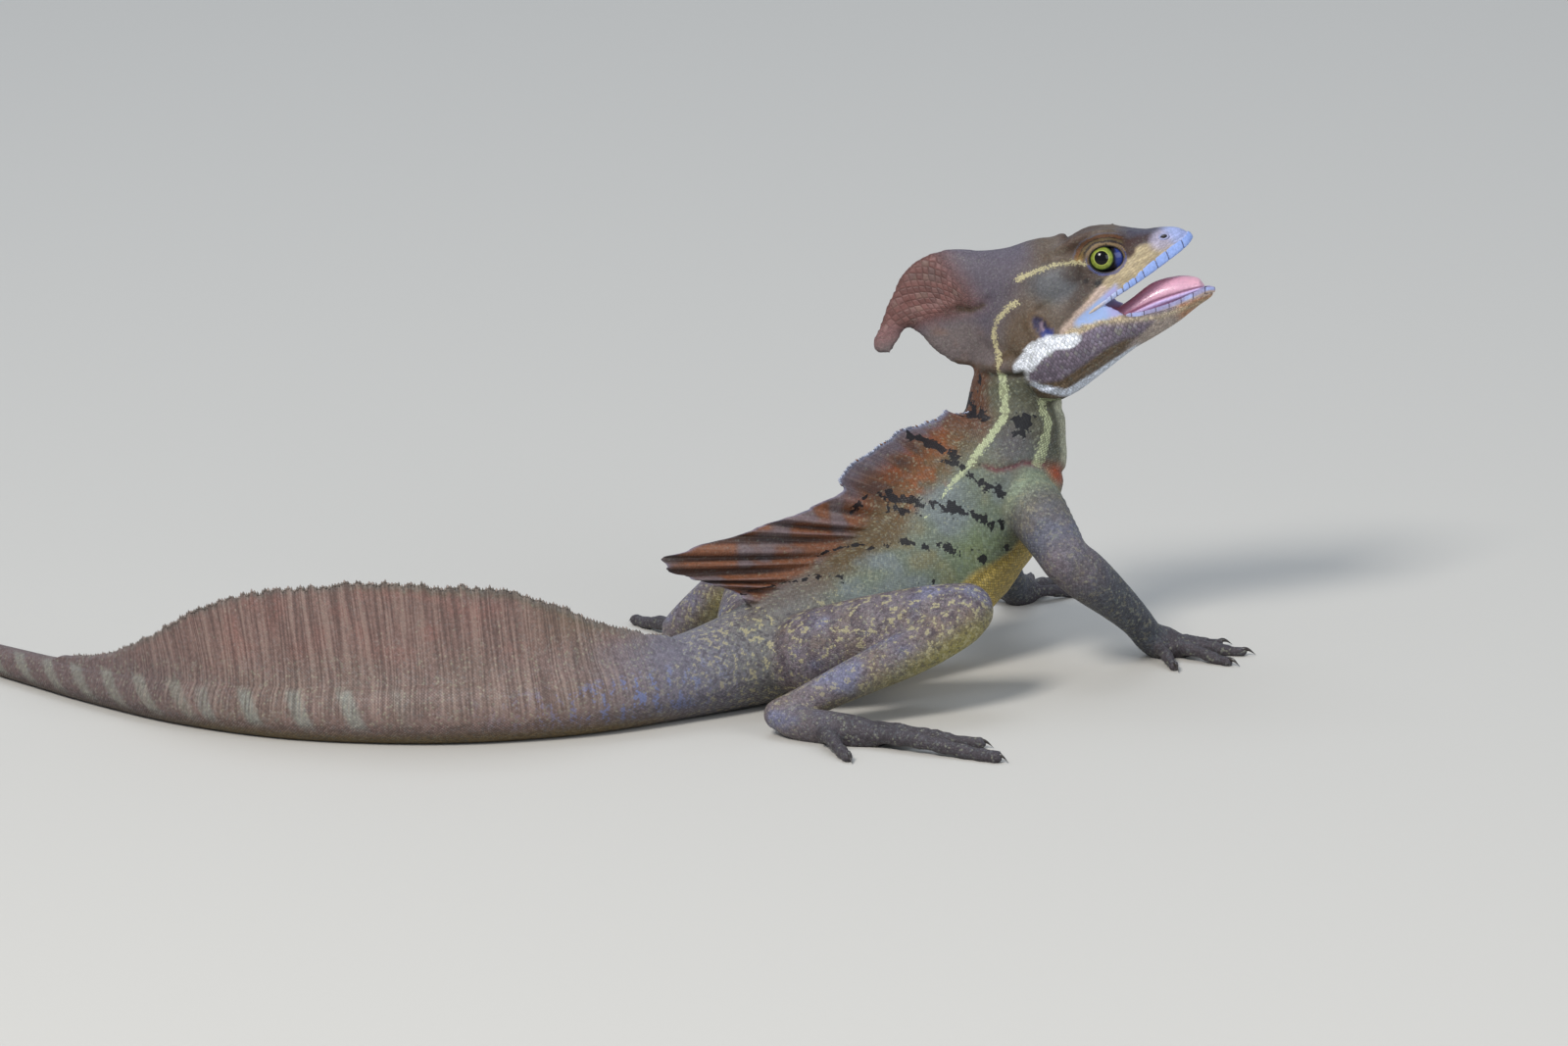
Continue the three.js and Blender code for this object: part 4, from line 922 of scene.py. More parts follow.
# %% Body colours
def paint_body(at, mm, degrees, where):
    """Colours of the trunk, neck and tail at stations and degrees round; below 0 is the sail."""
    patch = noise(where, 7.0, 1) * 0.6 + noise(where, 3.0, 2) * 0.4
    fine = noise(where, 1.7, 5)
    rust = fade(degrees + 20 * fine, 0, 34) * ease(at, 15.2, 15.8) * ease(patch, -0.5, 0.3)
    neck = ease(at, 17.3, 18.0)
    tail = fade(at + 0.25 * patch, 10.7, 11.9)
    belly_edge = 99 + 17 * ease(at, 15.6, 16.5)
    belly = ease(degrees, belly_edge - 2, belly_edge + 5) * ease(at, 13.4, 14.6)
    collar = np.interp(degrees, [48, 68, 90, 112], [17.05, 17.12, 17.44, 17.54])
    bands = ease(np.sin(2 * np.pi * (mm - 0.10 * degrees) / 13.5), 0.1, 0.7)
    bands = bands * fade(at, 7.9, 8.5)
    blots = ease(np.sin(2 * np.pi * (mm - 0.06 * degrees) / 14.5), 0.3, 0.85)
    blots = blots * ease(at, 7.9, 8.4) * fade(at, 9.4, 9.9)
    return layers(
        spread("687062", len(at)),
        # flank and back
        ("6d7577", ease(patch, -0.1, 0.5) * 0.8),
        ("7c7048", ease(-patch, 0.1, 0.6) * 0.5),
        ("72805a", hump(at, 16.0, 0.6) * ease(degrees, 60, 85) * 0.7),
        ("5c4c34", fade(degrees + 16 * patch, 16, 48)),
        ("80451f", rust * 0.75),
        # neck
        ("4f4b3a", neck * 0.8),
        ("5a5358", hump(at, 17.6, 0.55) * hump(degrees, 74, 26) * 0.75),
        ("5c3522", neck * fade(degrees + 16 * patch, 26, 50) * 0.8),
        # loins, hips and tail
        ("6d6765", 0.8 * fade(at + 0.4 * patch, 13.2, 14.4)),
        ("6b6772", fade(at + 0.3 * patch, 11.8, 12.9)),
        ("746159", tail),
        ("7d6661", tail * ease(patch, -0.3, 0.5) * 0.6),
        # underside
        ("c4ab5c", belly * fade(at, 17.05, 17.35)),
        ("6f5d3d", ease(degrees, 112, 140) * fade(at, 11, 12.4)),
        ("bfbfa4", 0.85 * ease(degrees + 8 * patch, 126, 140) * ease(at, 17.5, 17.7)),
        # mint, wine red and orange round the collar fold
        ("9fb597", hump(at, 17.33, 0.16) * hump(degrees, 118, 20)),
        ("6b2436", 0.75 * hump(at, collar, 0.05) * ease(degrees, 45, 60) * fade(degrees, 112, 120)),
        ("b04a1c", hump(at, 17.47, 0.13) * hump(degrees, 134, 18)),
        ("c0761c", hump(at, 16.72, 0.13) * hump(degrees, 110, 13) * 0.9),
        # the tail's dark end, its bands and its blots
        ("5f5050", 0.7 * fade(at, 7.4, 8.6)),
        ("85857a", bands * 0.6 * fade(degrees, 105, 135) * ease(degrees, 8, 30)),
        ("8b958c", 0.5 * blots * ease(degrees, 20, 50) * fade(degrees, 100, 125)),
    )


patch = noise(points, 7.0, 1) * 0.6 + noise(points, 3.0, 2) * 0.4
speck = noise(points, 1.6, 3)
paint = paint_body(body_at, body_mm, body_round, points)
print("mean of the body's paint", paint.mean(0).round(3).tolist())

# %% [markdown]
# The limbs are mauve grey. The fore leg darkens to slate below the elbow, and the hind leg has
# soft bars on the thigh and a yellow patch on the shank. Covers follow the share along a limb.

# %% Limb colours
fore = 1 - hind
bars = ease(np.sin(limb_mm * 0.9 + 2.2 * patch), 0.2, 0.8) * hind
limb_paint = layers(
    spread("70666c", count),
    ("736252", ease(patch, -0.1, 0.6) * 0.7),
    ("737a9c", ease(-patch, 0.1, 0.6) * 0.55),
    ("4c4048", bars * fade(limb_share, 0.5, 0.75) * 0.5),
    ("67655a", fore * fade(limb_share, 0.15, 0.4) * 0.9),
    ("5d6478", fore * hump(limb_share, 0.34, 0.12) * ease(patch, -0.2, 0.3) * 0.7),
    ("46484f", fore * ease(limb_share, 0.42, 0.6)),
    ("948c4c", hind * hump(limb_share, 0.54, 0.17) * ease(limb_round, 6, 14) * 0.85),
    ("9db192", fore * hump(limb_share, 0.14, 0.045) * 0.5),
    ("453f44", ease(limb_share, 0.86, 0.96)),
)
paint = paint + (limb_paint - paint) * limb_weight[:, None]
print("mean of the limbs' paint", limb_paint.mean(0).round(3).tolist())

# %% [markdown]
# On the head the markings are drawn on the side view, so one line serves both sides. A line has
# a half width in millimetres and a soft border.


# %% Head colours
def along_line(line, half, border=0.6, x=hx, z=hz):
    """1 near a broken line in the side view, falling to 0 over the border."""
    return fade(line_distance(x, z, line)[0] + 0.3 * speck, half, half + border)


def in_oval(x, z, rx, rz, border=0.35, turn=0.0):
    """1 inside an oval of the head's side view."""
    c, s = np.cos(np.radians(turn)), np.sin(np.radians(turn))
    dx, dz = hx - x, hz - z
    far = np.hypot((dx * c + dz * s) / rx, (-dx * s + dz * c) / rz)
    return fade(far + 0.08 * speck, 1 - border, 1 + border)


rust = ease(-hx, 24, 34) * ease(hz + 0.35 * (hx + 34), 17, 24)
low_crest = ease(-hx, 30, 36) * fade(hz + 0.35 * (hx + 34), 16, 22)
tan_x = [0, 2, 7, 10.5, 12.2, 14, 16.2, 18.9, 19.5]
tan_top = np.interp(hx, tan_x, [4.4, 5.2, 6.0, 6.2, 6.2, 7.1, 7.0, 5.5, 4.5])
lower_front = ease(hx, -6, 0) * fade(hz - tan_top, -0.6, 0.4)
ear_blue = np.hypot((hx + 18.2) / 2.1, (hz - 2.8) / 1.8)
crest_edge = along_line([(-44, 11.0), (-41, 7.6), (-36, 4.0), (-30, 5.0)], 0.5, 1.0)
# painted shade along the creases of the two folds pressed into the head
upper_fold_shade = along_line([(-34.6, 22.6), (-31.6, 20.0), (-28.2, 19.2)], 0.3, 0.9)
lower_fold_shade = along_line([(-15, 9.8), (-18.5, 10.0), (-22.2, 7.6)], 0.2, 0.8)
mouth_corner = along_line([(-13.8, 0.4), (-8.4, 1.2), (-4.1, 2.0), (0.5, 3.2)], 1.25, 0.9)
before_eye = along_line([(11.6, 11.6), (12.9, 9.4), (12.1, 7.7)], 1.4, 0.6)
snout_line = along_line([(12.6, 9.8), (15.4, 8.9), (18.6, 7.0)], 0.7, 0.7)
head = layers(
    spread("57483a", count),
    # side of the head and crown
    ("6b6058", ease(patch, -0.3, 0.5) * 0.7),
    ("554f5e", ease(hz - 0.5 * hx, 20, 32) * ease(-hx, 4, 12) * 0.8),
    # crest: rust plates, its pale tip, its grey lower part
    ("6f4a44", rust * 0.95),
    ("5f433e", rust * ease(-patch, 0.0, 0.5) * 0.6),
    ("83605f", in_oval(-56.0, 27.4, 5.0, 3.4, 0.5)),
    ("6b605f", low_crest),
    ("7c5c4c", low_crest * ease(patch, 0.0, 0.5) * 0.7),
    ("4e3a20", crest_edge * 0.6),
    # temple, dark bars behind the eye, painted shade in the creases of the folds
    ("5f5f62", in_oval(-8.4, 12.2, 7.2, 4.6, 0.5, -30)),
    ("3a2b22", in_oval(-1.5, 10.4, 5.0, 2.6, 0.5, -40) * 0.8),
    ("3b2c25", in_oval(-3.4, 6.4, 7.4, 1.9, 0.5, 14) * 0.75),
    ("3f3020", upper_fold_shade * 0.9),
    ("3f3020", lower_fold_shade * 0.7),
    ("5a4630", in_oval(-23.5, 6.5, 4.4, 5.5, 0.5) * 0.6),
    # brow, top of the snout, tan lower face
    ("4c3a30", ease(hz - 0.12 * hx, 15.0, 17.5) * ease(hx, -3, 1) * fade(hx, 13, 16)),
    ("3c3c50", ease(hx, 11, 16) * ease(hz - (14.9 - 0.5 * hx), -1, 1.4) * 0.8),
    ("ad9c7b", lower_front),
    ("8b7862", lower_front * ease(speck, 0.1, 0.6) * 0.4),
    ("b8a294", mouth_corner),
    # before the eye, nostril, tip of the snout
    ("96722e", in_oval(0.9, 14.2, 1.5, 1.0, 0.5, 30) * 0.8),
    ("3b2620", before_eye * 0.9),
    ("3f2a26", snout_line * 0.85),
    ("a9a2b6", in_oval(21.2, 4.6, 3.4, 2.6, 0.4, -15) * 0.85),
    ("9aa5cf", ease(hx, 21.5, 24.4)),
    # specks below the eye, and the ear with a painted highlight down it
    ("151113", in_oval(0.8, 5.7, 1.2, 0.9) + in_oval(-1.4, 8.0, 0.8, 0.7) * 0.8),
    ("75604e", hump(ear_ring, 1.35, 0.25) * 0.6),
    ("46415c", fade(ear_ring, 0.75, 1.15)),
    ("3a4486", fade(ear_blue, 0.6, 1.1)),
    # painted highlight: a pale lavender line down the ear
    ("a08a98", along_line([(-17.8, 6.6), (-18.6, 4.6)], 0.25, 0.4) * 0.8),
)
print("points on the crest's plates", int((rust > 0.5).sum()))

# %% [markdown]
# The jaw is mauve, with a brown fold, a pale chin and a pale throat. Its markings are drawn in
# the jaw's own frame, which has turned with the open mouth.

# %% Jaw colours
fold_line = np.interp(jx, [-11, -6, 0, 8, 15, 20, 26], [-8.4, -11.4, -12.0, -9.2, -6.6, -5.6, -5.4])
below = fade(jz - fold_line, -0.5, 0.5)
chin = np.interp(jx, [17, 24, 30, 36, 44], [-8.5, -5.0, -1.6, -0.5, 1.5])
under_lip = np.interp(jx, [14, 20, 30, 40], [1.6, 0.4, -1.2, -0.8])
cheek_line = np.interp(jx, [-2, 8, 16, 22], [-1.4, 1.2, 2.6, 1.4])
tan_edge = fade(np.abs(jz - cheek_line), 0.9, 1.8)
throat_line = np.interp(jx, [-8, -6, 0.5, 9, 21, 24], [-9.5, -11.6, -15.2, -12.6, -8.6, -7.6])
throat_edge = fade(np.abs(jz - throat_line), 0.9, 1.5)
jaw = layers(
    spread("706572", count),
    ("9890a8", ease(jx, 8, 20) * ease(patch, -0.3, 0.4) * 0.8),
    ("7d6646", hump(jz - fold_line, 0.2, 0.7) * fade(jx, 18, 26) * 0.9),
    ("69573f", below * fade(jx, 18, 26) * 0.9),
    ("b3a398", fade(jz - chin, -0.3, 0.8) * ease(jx, 16, 24)),
    ("b87a4a", ease(jx, 33, 37) * fade(jz, 0.2, 1.2) * 0.8),
    ("b3a386", hump(jz - under_lip, 0, 0.8) * ease(jx, 12, 18) * 0.8),
    ("bba889", tan_edge * fade(jx, 19, 24) * ease(jx, -5, 1)),
    ("dde4f2", throat_edge * fade(jx, 20, 24) * ease(-hz, 4, 6)),
)
gape_line = np.interp(hx, [-34, -19, 0, 4, 30], [-3, 0.5, 0.3, -1.5, -6.5])
is_jaw = ease(hz - gape_line, 0.5, -0.5)
head = head + (jaw - head) * is_jaw[:, None]
print("points on the jaw", int((is_jaw * head_weight > 0.5).sum()))

# %% [markdown]
# Inside the mouth the skin is pink and wet, and blue where it is stretched across the corner.
# Which points lie inside is read from the tables of the skull and the jaw.

# %% Mouth and white patch
WHITE_PATCH = [(-31.3, -2.6), (-29.6, -0.6), (-24.2, 1.0), (-18.7, 0.2), (-14.8, -1.9), (-13.0, -2.6)]
jaw_lip = np.interp(jx, JAW[::-1, 0], JAW[::-1, 1])
jaw_floor = np.interp(jx, JAW[::-1, 0], JAW[::-1, 7])
skull_lip = np.interp(hx, SKULL[::-1, 0], SKULL[::-1, 8])
skull_palate = np.interp(hx, SKULL[::-1, 0], SKULL[::-1, 10])
mouth_floor = (jy < 0.9 * jaw_lip) & (jz > jaw_floor - 0.8) & (jz < 6.5) & (jx > 7)
palate = (hy < 0.9 * skull_lip) & (hz < skull_palate + 0.6) & (hx > -12) & (is_jaw < 0.5)
inside = (mouth_floor | palate).astype(float)
membrane = ease(jz, 1.7, 2.3) * fade(jz - 0.5 * jx, -0.9, 0.3) * ease(jx, 7, 9) * fade(jx, 21, 22)
membrane = membrane * ease(jy, 8.5, 10)
wet = np.maximum(inside, ease(membrane, 0.3, 0.7)) * head_weight
patch_far, patch_share = line_distance(hx, hz, WHITE_PATCH)
white = fade(patch_far + 0.35 * speck - 1.3 - 1.1 * hump(patch_share, 0.38, 0.32), 0, 0.5)
beads = np.maximum(is_jaw, white)
head = layers(
    head,
    ("c98494", inside),
    ("97acd6", membrane),
    ("a99cc8", membrane * ease(jx, 16, 19) * 0.7),
    ("eef1f8", white),
)
# painted shadow on the neck just below the overhanging lower edge of the crest
paint = layers(paint, ("33281b", flap_side * hump(above_flap, -0.8, 0.8) * 0.8))
paint = paint + (head - paint) * head_weight[:, None]
print("mean paint", paint.mean(0).round(3).tolist())

# %% [markdown]
# Two kinds of marking need an edge sharper than the mesh: the black bars and blotches of the
# flank, and the pale stripe from the crest over the neck to the shoulder. For these each point
# stores its distance in millimetres to the mark, and the material cuts it along the scales.

# %% Distances to marks
MARKS = [
    # stations and degrees round of each bend, and half width in mm
    ([(16.77, 49), (16.8, 59)], 1.5), ([(16.79, 67), (16.84, 84), (16.87, 96)], 1.1),
    ([(16.84, -16), (16.92, -2), (16.96, 22)], 1.6), ([(16.73, 14), (16.82, 37)], 0.9),
    ([(15.5, -16), (15.79, -12)], 0.8), ([(15.86, -3), (15.94, 20), (16.07, 39)], 1.4),
    ([(15.71, 10), (15.84, 34)], 0.7), ([(16.16, 46), (16.24, 50)], 0.8),
    ([(16.09, 45), (16.2, 55), (16.3, 67), (16.36, 81), (16.37, 88)], 0.95),
    ([(16.49, 93), (16.51, 96)], 0.75), ([(16.59, 102), (16.6, 103)], 0.6),
    ([(14.45, -8), (14.57, 2), (14.75, 18), (14.9, 28)], 0.9),
    ([(14.94, 32), (15.28, 38), (15.41, 47)], 0.45),
    ([(15.5, 54), (15.54, 58)], 0.55), ([(15.66, 66), (15.74, 73)], 0.6), ([(15.8, 79), (15.84, 83)], 0.45),
    ([(15.9, 88), (15.91, 90)], 0.5), ([(15.96, 95), (15.97, 98)], 0.55), ([(16.33, 110), (16.34, 114)], 0.7),
    ([(13.2, -22), (13.43, -17), (13.67, 2)], 0.5), ([(13.72, 5), (13.87, 16)], 1.0),
    ([(13.92, 20), (14.05, 26), (14.14, 35)], 0.4), ([(18.14, 81), (18.1, 89)], 2.7),
    ([(18.7, 6), (18.52, 22), (18.26, 40)], 1.5), ([(18.45, 16), (18.4, 30)], 2.2),
    ([(18.2, 3), (18.25, 10)], 1.2), ([(19.3, 12), (19.1, 20)], 0.7), ([(17.1, 108), (17.09, 112)], 1.0),
    ([(15.2, 84), (15.24, 88)], 0.6), ([(15.0, 78), (15.02, 80)], 0.4),
]
STRIPE = [
    (19.75, 58), (19.29, 66), (18.75, 70), (18.41, 66), (17.9, 53), (17.4, 44.5), (16.75, 40), (16.3, 38.5),
    (15.86, 39),
]
TEMPLE_STRIPE = [(1.2, 11.6), (-1.0, 14.2), (-4.2, 16.0), (-8.2, 17.4), (-12.3, 18.6), (-16.2, 19.4)]
SECOND_STRIPE = [
    (-19.9, 14.6), (-23.9, 14.8), (-27.6, 13.8), (-29.8, 12.0), (-31.4, 9.6), (-32.7, 5.8), (-35.2, 3.0),
]
FRONT_STRIPE = [(18.94, 118), (18.38, 115), (18.12, 114), (17.93, 111), (17.7, 108), (17.56, 107)]


def mark_distances(mm, y):
    """Distance in mm to the edge of the nearest black mark, and of the pale stripes."""
    black = np.full(len(mm), 30.0)
    for mark, half in MARKS:
        black = np.minimum(black, line_distance(mm, y, on_body(mark))[0] - half)
    far, place = line_distance(mm, y, on_body(STRIPE))
    stripe = far - (1.2 - 0.8 * ease(place, 0.55, 1.0))
    far, place = line_distance(mm, y, on_body(FRONT_STRIPE))
    return black, np.minimum(stripe, far - 0.7 - 1.0 * place)


black_far, stripe_far = mark_distances(body_mm, body_y)
off_body = 30 * np.maximum(limb_weight - 0.25 * fore, head_weight)
stripe_far = stripe_far + 30 * limb_weight
temple_far, temple_share = line_distance(hx, hz, TEMPLE_STRIPE)
second_far, _ = line_distance(hx, hz, SECOND_STRIPE)
temple_edge = temple_far - 0.45 - 0.3 * ease(temple_share, 0.6, 1.0)
head_far = np.minimum(temple_edge, second_far - 0.68) + 30 * is_jaw
stripe_far = np.where(head_weight > 0.5, head_far, stripe_far)
lid_place = np.where(head_weight > 0.5, lid_ring, 9.0)
print("points in black marks", int((black_far + off_body < 0).sum()))

# %% [markdown]
# ## The scales
# The scales are small domes in rows, whose pitch changes over the animal. Modelling each one
# would take millions of faces, so each point stores its place in the rows, counted in scales,
# and the material draws them. Where rows would be stretched, as on the crown and under the
# chin, it takes grains in space instead.

# %% Make the skin
fused.vertices.foreach_set("co", (points * MM).ravel())
fused.polygons.foreach_set("use_smooth", np.ones(len(fused.polygons), bool))
fused.update()
skin = new_object("skin", fused)
normals = np.empty(count * 3, np.float32)
fused.vertices.foreach_get("normal", normals)
facing = np.abs((normals.reshape(-1, 3) @ HEAD_TURN)[:, 1])
print("skin triangles", sum(len(p.vertices) - 2 for p in skin.data.polygons))

# %% [markdown]
# The trunk's rows are counted in millimetres along and round it. The plates of the crest run in
# arcs round its foot, the cheek's are long and low, and the jaw's grow towards the chin.

# %% Rows of scales
FLANK_PITCH = 0.6
BELLY_PITCH = 0.85
ALONG_HEX, ACROSS_HEX = 1.414, 0.8165


def row_place(mm, y):
    """Rows of the trunk: millimetres along and round, counted in scales, wider on the belly."""
    edge = 30.0
    round_count = np.minimum(y, edge) / FLANK_PITCH + np.maximum(y - edge, 0) / BELLY_PITCH
    return np.column_stack([mm / (FLANK_PITCH * 1.08), round_count, 0 * y])


def hexagons(x, y, length, height):
    """Places in rows of six-sided scales with a given length along the row and height across it."""
    return np.column_stack([x * ALONG_HEX / length, y * ACROSS_HEX / height, 0 * x])


jaw_x = np.linspace(-20, 50, 300)
jaw_pitch = 0.95 + 0.3 * ease(jaw_x, -4, 8) + 0.25 * ease(jaw_x, 18, 34)
jaw_count = np.cumsum(1 / jaw_pitch) * (jaw_x[1] - jaw_x[0])
jaw_high = jz / np.interp(jx, jaw_x, jaw_pitch)
jaw_rows = hexagons(np.interp(jx, jaw_x, jaw_count), jaw_high, 1, 0.9)
CREST_CENTRE = (-33.0, 14.0)
crest_angle = np.arctan2(hz - CREST_CENTRE[1], hx - CREST_CENTRE[0])
crest_radius = np.hypot(hx - CREST_CENTRE[0], hz - CREST_CENTRE[1])
crest_rows = hexagons(crest_angle * 22, crest_radius, 2.3, 1.6)
cheek_rows = hexagons(hx, hz, 2.9, 0.42)
limb_rows = np.column_stack([limb_mm, limb_round, 0 * limb_mm]) / 0.72
plates = ease(rust, 0.3, 0.7) * (1 - is_jaw)
rows = row_place(body_mm, body_y)
rows = np.where((limb_weight > 0.5)[:, None], limb_rows, rows)
head_rows = np.where((plates > 0.5)[:, None], crest_rows, cheek_rows)
head_rows = np.where((beads > 0.5)[:, None], jaw_rows, head_rows)
rows = np.where((head_weight > 0.5)[:, None], head_rows, rows)

# %% [markdown]
# Where two systems of rows meet, or where one is squeezed round an elbow, the rows would show
# as torn scales. So the area of each face counted in scales is compared with its neighbours'
# pitch, and where the two disagree the material goes over to grains in space.


# %% Where the rows run evenly
LONGEST_STEP = 3.4  # scales along one side of a face; more means that the rows are torn


def evenness(rows, low, high):
    """For each vertex, the share of its faces whose scales per square millimetre lie in a range."""
    a, b, c, d = quads.T
    turned = np.cross(rows[c] - rows[a], rows[d] - rows[b])
    flat = np.linalg.norm(np.cross(points[c] - points[a], points[d] - points[b]), axis=1)
    density = np.abs(turned[:, 2]) / np.maximum(flat, 1e-6)
    sides = [np.linalg.norm(rows[q] - rows[p], axis=1) for p, q in ((a, b), (b, c), (c, d), (d, a))]
    good = ((density > low[a]) & (density < high[a]) & (np.max(sides, axis=0) < LONGEST_STEP)).astype(float)
    total = sum(np.bincount(q, good, count) for q in (a, b, c, d))
    return total / np.maximum(sum(np.bincount(q, minlength=count) for q in (a, b, c, d)), 1)


quads = np.empty(len(fused.polygons) * 4, np.int64)
fused.loops.foreach_get("vertex_index", quads)
quads = quads.reshape(-1, 4)
wanted = np.where(head_weight > 0.5, np.where(beads > 0.5, 1.2, np.where(plates > 0.5, 0.31, 0.95)), 2.5)
wanted = np.where(limb_weight > 0.5, 1.93, wanted)
even = evenness(rows, 0.4 * wanted, 2.2 * wanted)[:, None]
for _ in range(2):
    even = np.minimum(even, mean_of_neighbours(even))
even = ease(even[:, 0], 0.75, 1.0)
on_head = head_weight * np.maximum(beads, np.maximum(plates, lower_front)) * ease(facing, 0.3, 0.55)
row_weight = even * (1 - limb_weight * ease(limb_share, 0.8, 0.9)) * (1 - head_weight + on_head)
print("even rows on", round(float(even.mean()), 2), "of the skin")

# %% [markdown]
# The last values say where the skin is specked, dashed with blue or streaked, how deep its
# seams are and where it is wet. As attributes they stay with the mesh.

# %% Store the places
specks = np.where(hind > 0.5, 1.0 - 0.4 * ease(limb_share, 0.5, 0.8), 0.3) * limb_weight
specks = specks + hump(body_at, 12.9, 1.2) * (1 - limb_weight) * (1 - head_weight)
specks = specks * (1 - ease(limb_share, 0.8, 0.95) * limb_weight)
blue = hump(body_at, 11.4, 0.75) * ease(body_round, 40, 66)
blue = blue * fade(body_round, 110, 140) * (1 - limb_weight)
lines = fade(body_at, 10.9, 12.0) * ease(body_at, 6.6, 8.2)
lines = lines * fade(body_round, 70, 110) * body_only
seams = 0.2 + 0.3 * ease(body_round, 96, 112) * body_only + 0.08 * limb_weight
head_seams = 0.1 + 0.2 * plates + 0.1 * lower_front
head_seams = head_seams + (0.37 - head_seams) * beads
seams = seams + (head_seams - seams) * head_weight
rows[:, 2] = ease(lid_above, 0.2, 1.9) * fade(lid_along, 3.6, 5.6)
give(skin, "paint", paint)
give(skin, "rows", rows)
give(skin, "line_at", np.column_stack([body_mm, body_y, lines]))
give(skin, "weights", np.column_stack([row_weight, specks, head_weight * (1 - beads)]))
give(skin, "marks", np.column_stack([black_far + off_body, stripe_far, lid_place]))
give(skin, "extra", np.column_stack([blue, wet, seams]))
print("stored", len(skin.data.attributes), "attributes")

# %% [markdown]
# ## The material of the skin
# A material is a tree of nodes. This class only shortens the adding and linking of them.


# %% Node helpers
def new_group(name, inputs, outputs):
    """A shader node group with named float, vector and colour sockets."""
    group = bpy.data.node_groups.new(name, "ShaderNodeTree")
    for label, kind, value in inputs:
        item = group.interface.new_socket(label, in_out="INPUT", socket_type=kind)
        if value is not None:
            item.default_value = value
    for label, kind in outputs:
        group.interface.new_socket(label, in_out="OUTPUT", socket_type=kind)
    return group, group.nodes.new("NodeGroupInput"), group.nodes.new("NodeGroupOutput")


class Nodes:
    """Short ways to add nodes to one tree and link them."""

    def __init__(self, tree):
        self.tree = tree

    def add(self, kind, **settings):
        node = self.tree.nodes.new(kind)
        for key, value in settings.items():
            setattr(node, key, value)
        return node

    def link(self, source, target):
        self.tree.links.new(source, target)

    def put(self, target, value):
        """Links an output to an input, or sets the input to a plain value."""
        if isinstance(value, bpy.types.NodeSocket):
            self.link(value, target)
        else:
            target.default_value = value

    def math(self, operation, a, b=0.0, clamp=False):
        node = self.add("ShaderNodeMath", operation=operation, use_clamp=clamp)
        self.put(node.inputs[0], a)
        self.put(node.inputs[1], b)
        return node.outputs[0]

    def times(self, a, b):
        return self.math("MULTIPLY", a, b)

    def plus(self, a, b):
        return self.math("ADD", a, b)

    def minus(self, a, b, clamp=False):
        return self.math("SUBTRACT", a, b, clamp)

    def fit(self, value, low, high, to_low=0.0, to_high=1.0):
        """The smooth cubic step between two levels, as ease() does it for arrays."""
        node = self.add("ShaderNodeMapRange", interpolation_type="SMOOTHSTEP")
        self.put(node.inputs[0], value)
        for n, v in enumerate((low, high, to_low, to_high)):
            node.inputs[n + 1].default_value = v
        return node.outputs[0]

    def mix(self, share, a, b, blend="MIX"):
        """Colour a with colour b laid over it by a share."""
        node = self.add("ShaderNodeMix", data_type="RGBA", blend_type=blend)
        self.put(node.inputs[0], share)
        self.put(node.inputs[6], a)
        self.put(node.inputs[7], b)
        return node.outputs[2]

    def coat(self, share, base, code):
        """The base with one colour, given in hex digits, laid over it by a share."""
        return self.mix(share, base, (*srgb(code), 1.0))

    def blend(self, share, a, b):
        """The value a + share (b - a)."""
        node = self.add("ShaderNodeMix", data_type="FLOAT")
        self.put(node.inputs[0], share)
        self.put(node.inputs[2], a)
        self.put(node.inputs[3], b)
        return node.outputs[0]

    def grey(self, value):
        node = self.add("ShaderNodeCombineColor")
        for n in range(3):
            self.link(value, node.inputs[n])
        return node.outputs[0]

    def attribute(self, name, output="Vector"):
        return self.add("ShaderNodeAttribute", attribute_name=name).outputs[output]

    def parts(self, vector):
        node = self.add("ShaderNodeSeparateXYZ")
        self.link(vector, node.inputs[0])
        return node.outputs

    def flat_place(self, x, y):
        """The vector (x, y, 0)."""
        node = self.add("ShaderNodeCombineXYZ")
        self.link(x, node.inputs[0])
        self.link(y, node.inputs[1])
        return node.outputs[0]

    def noise(self, vector, size, detail=3.0, rough=0.55):
        """Soft noise whose blotches are about 1 / size long."""
        node = self.add("ShaderNodeTexNoise")
        self.link(vector, node.inputs["Vector"])
        node.inputs["Scale"].default_value = size
        node.inputs["Detail"].default_value = detail
        node.inputs["Roughness"].default_value = rough
        return node.outputs[0]


# %% [markdown]
# Two patterns of cells are used again and again: grains in space, and rows of diamond scales on
# the body's own coordinates. Each is a node group, built once, with a dome for the relief, the
# seams between scales, and two random tints for each scale.


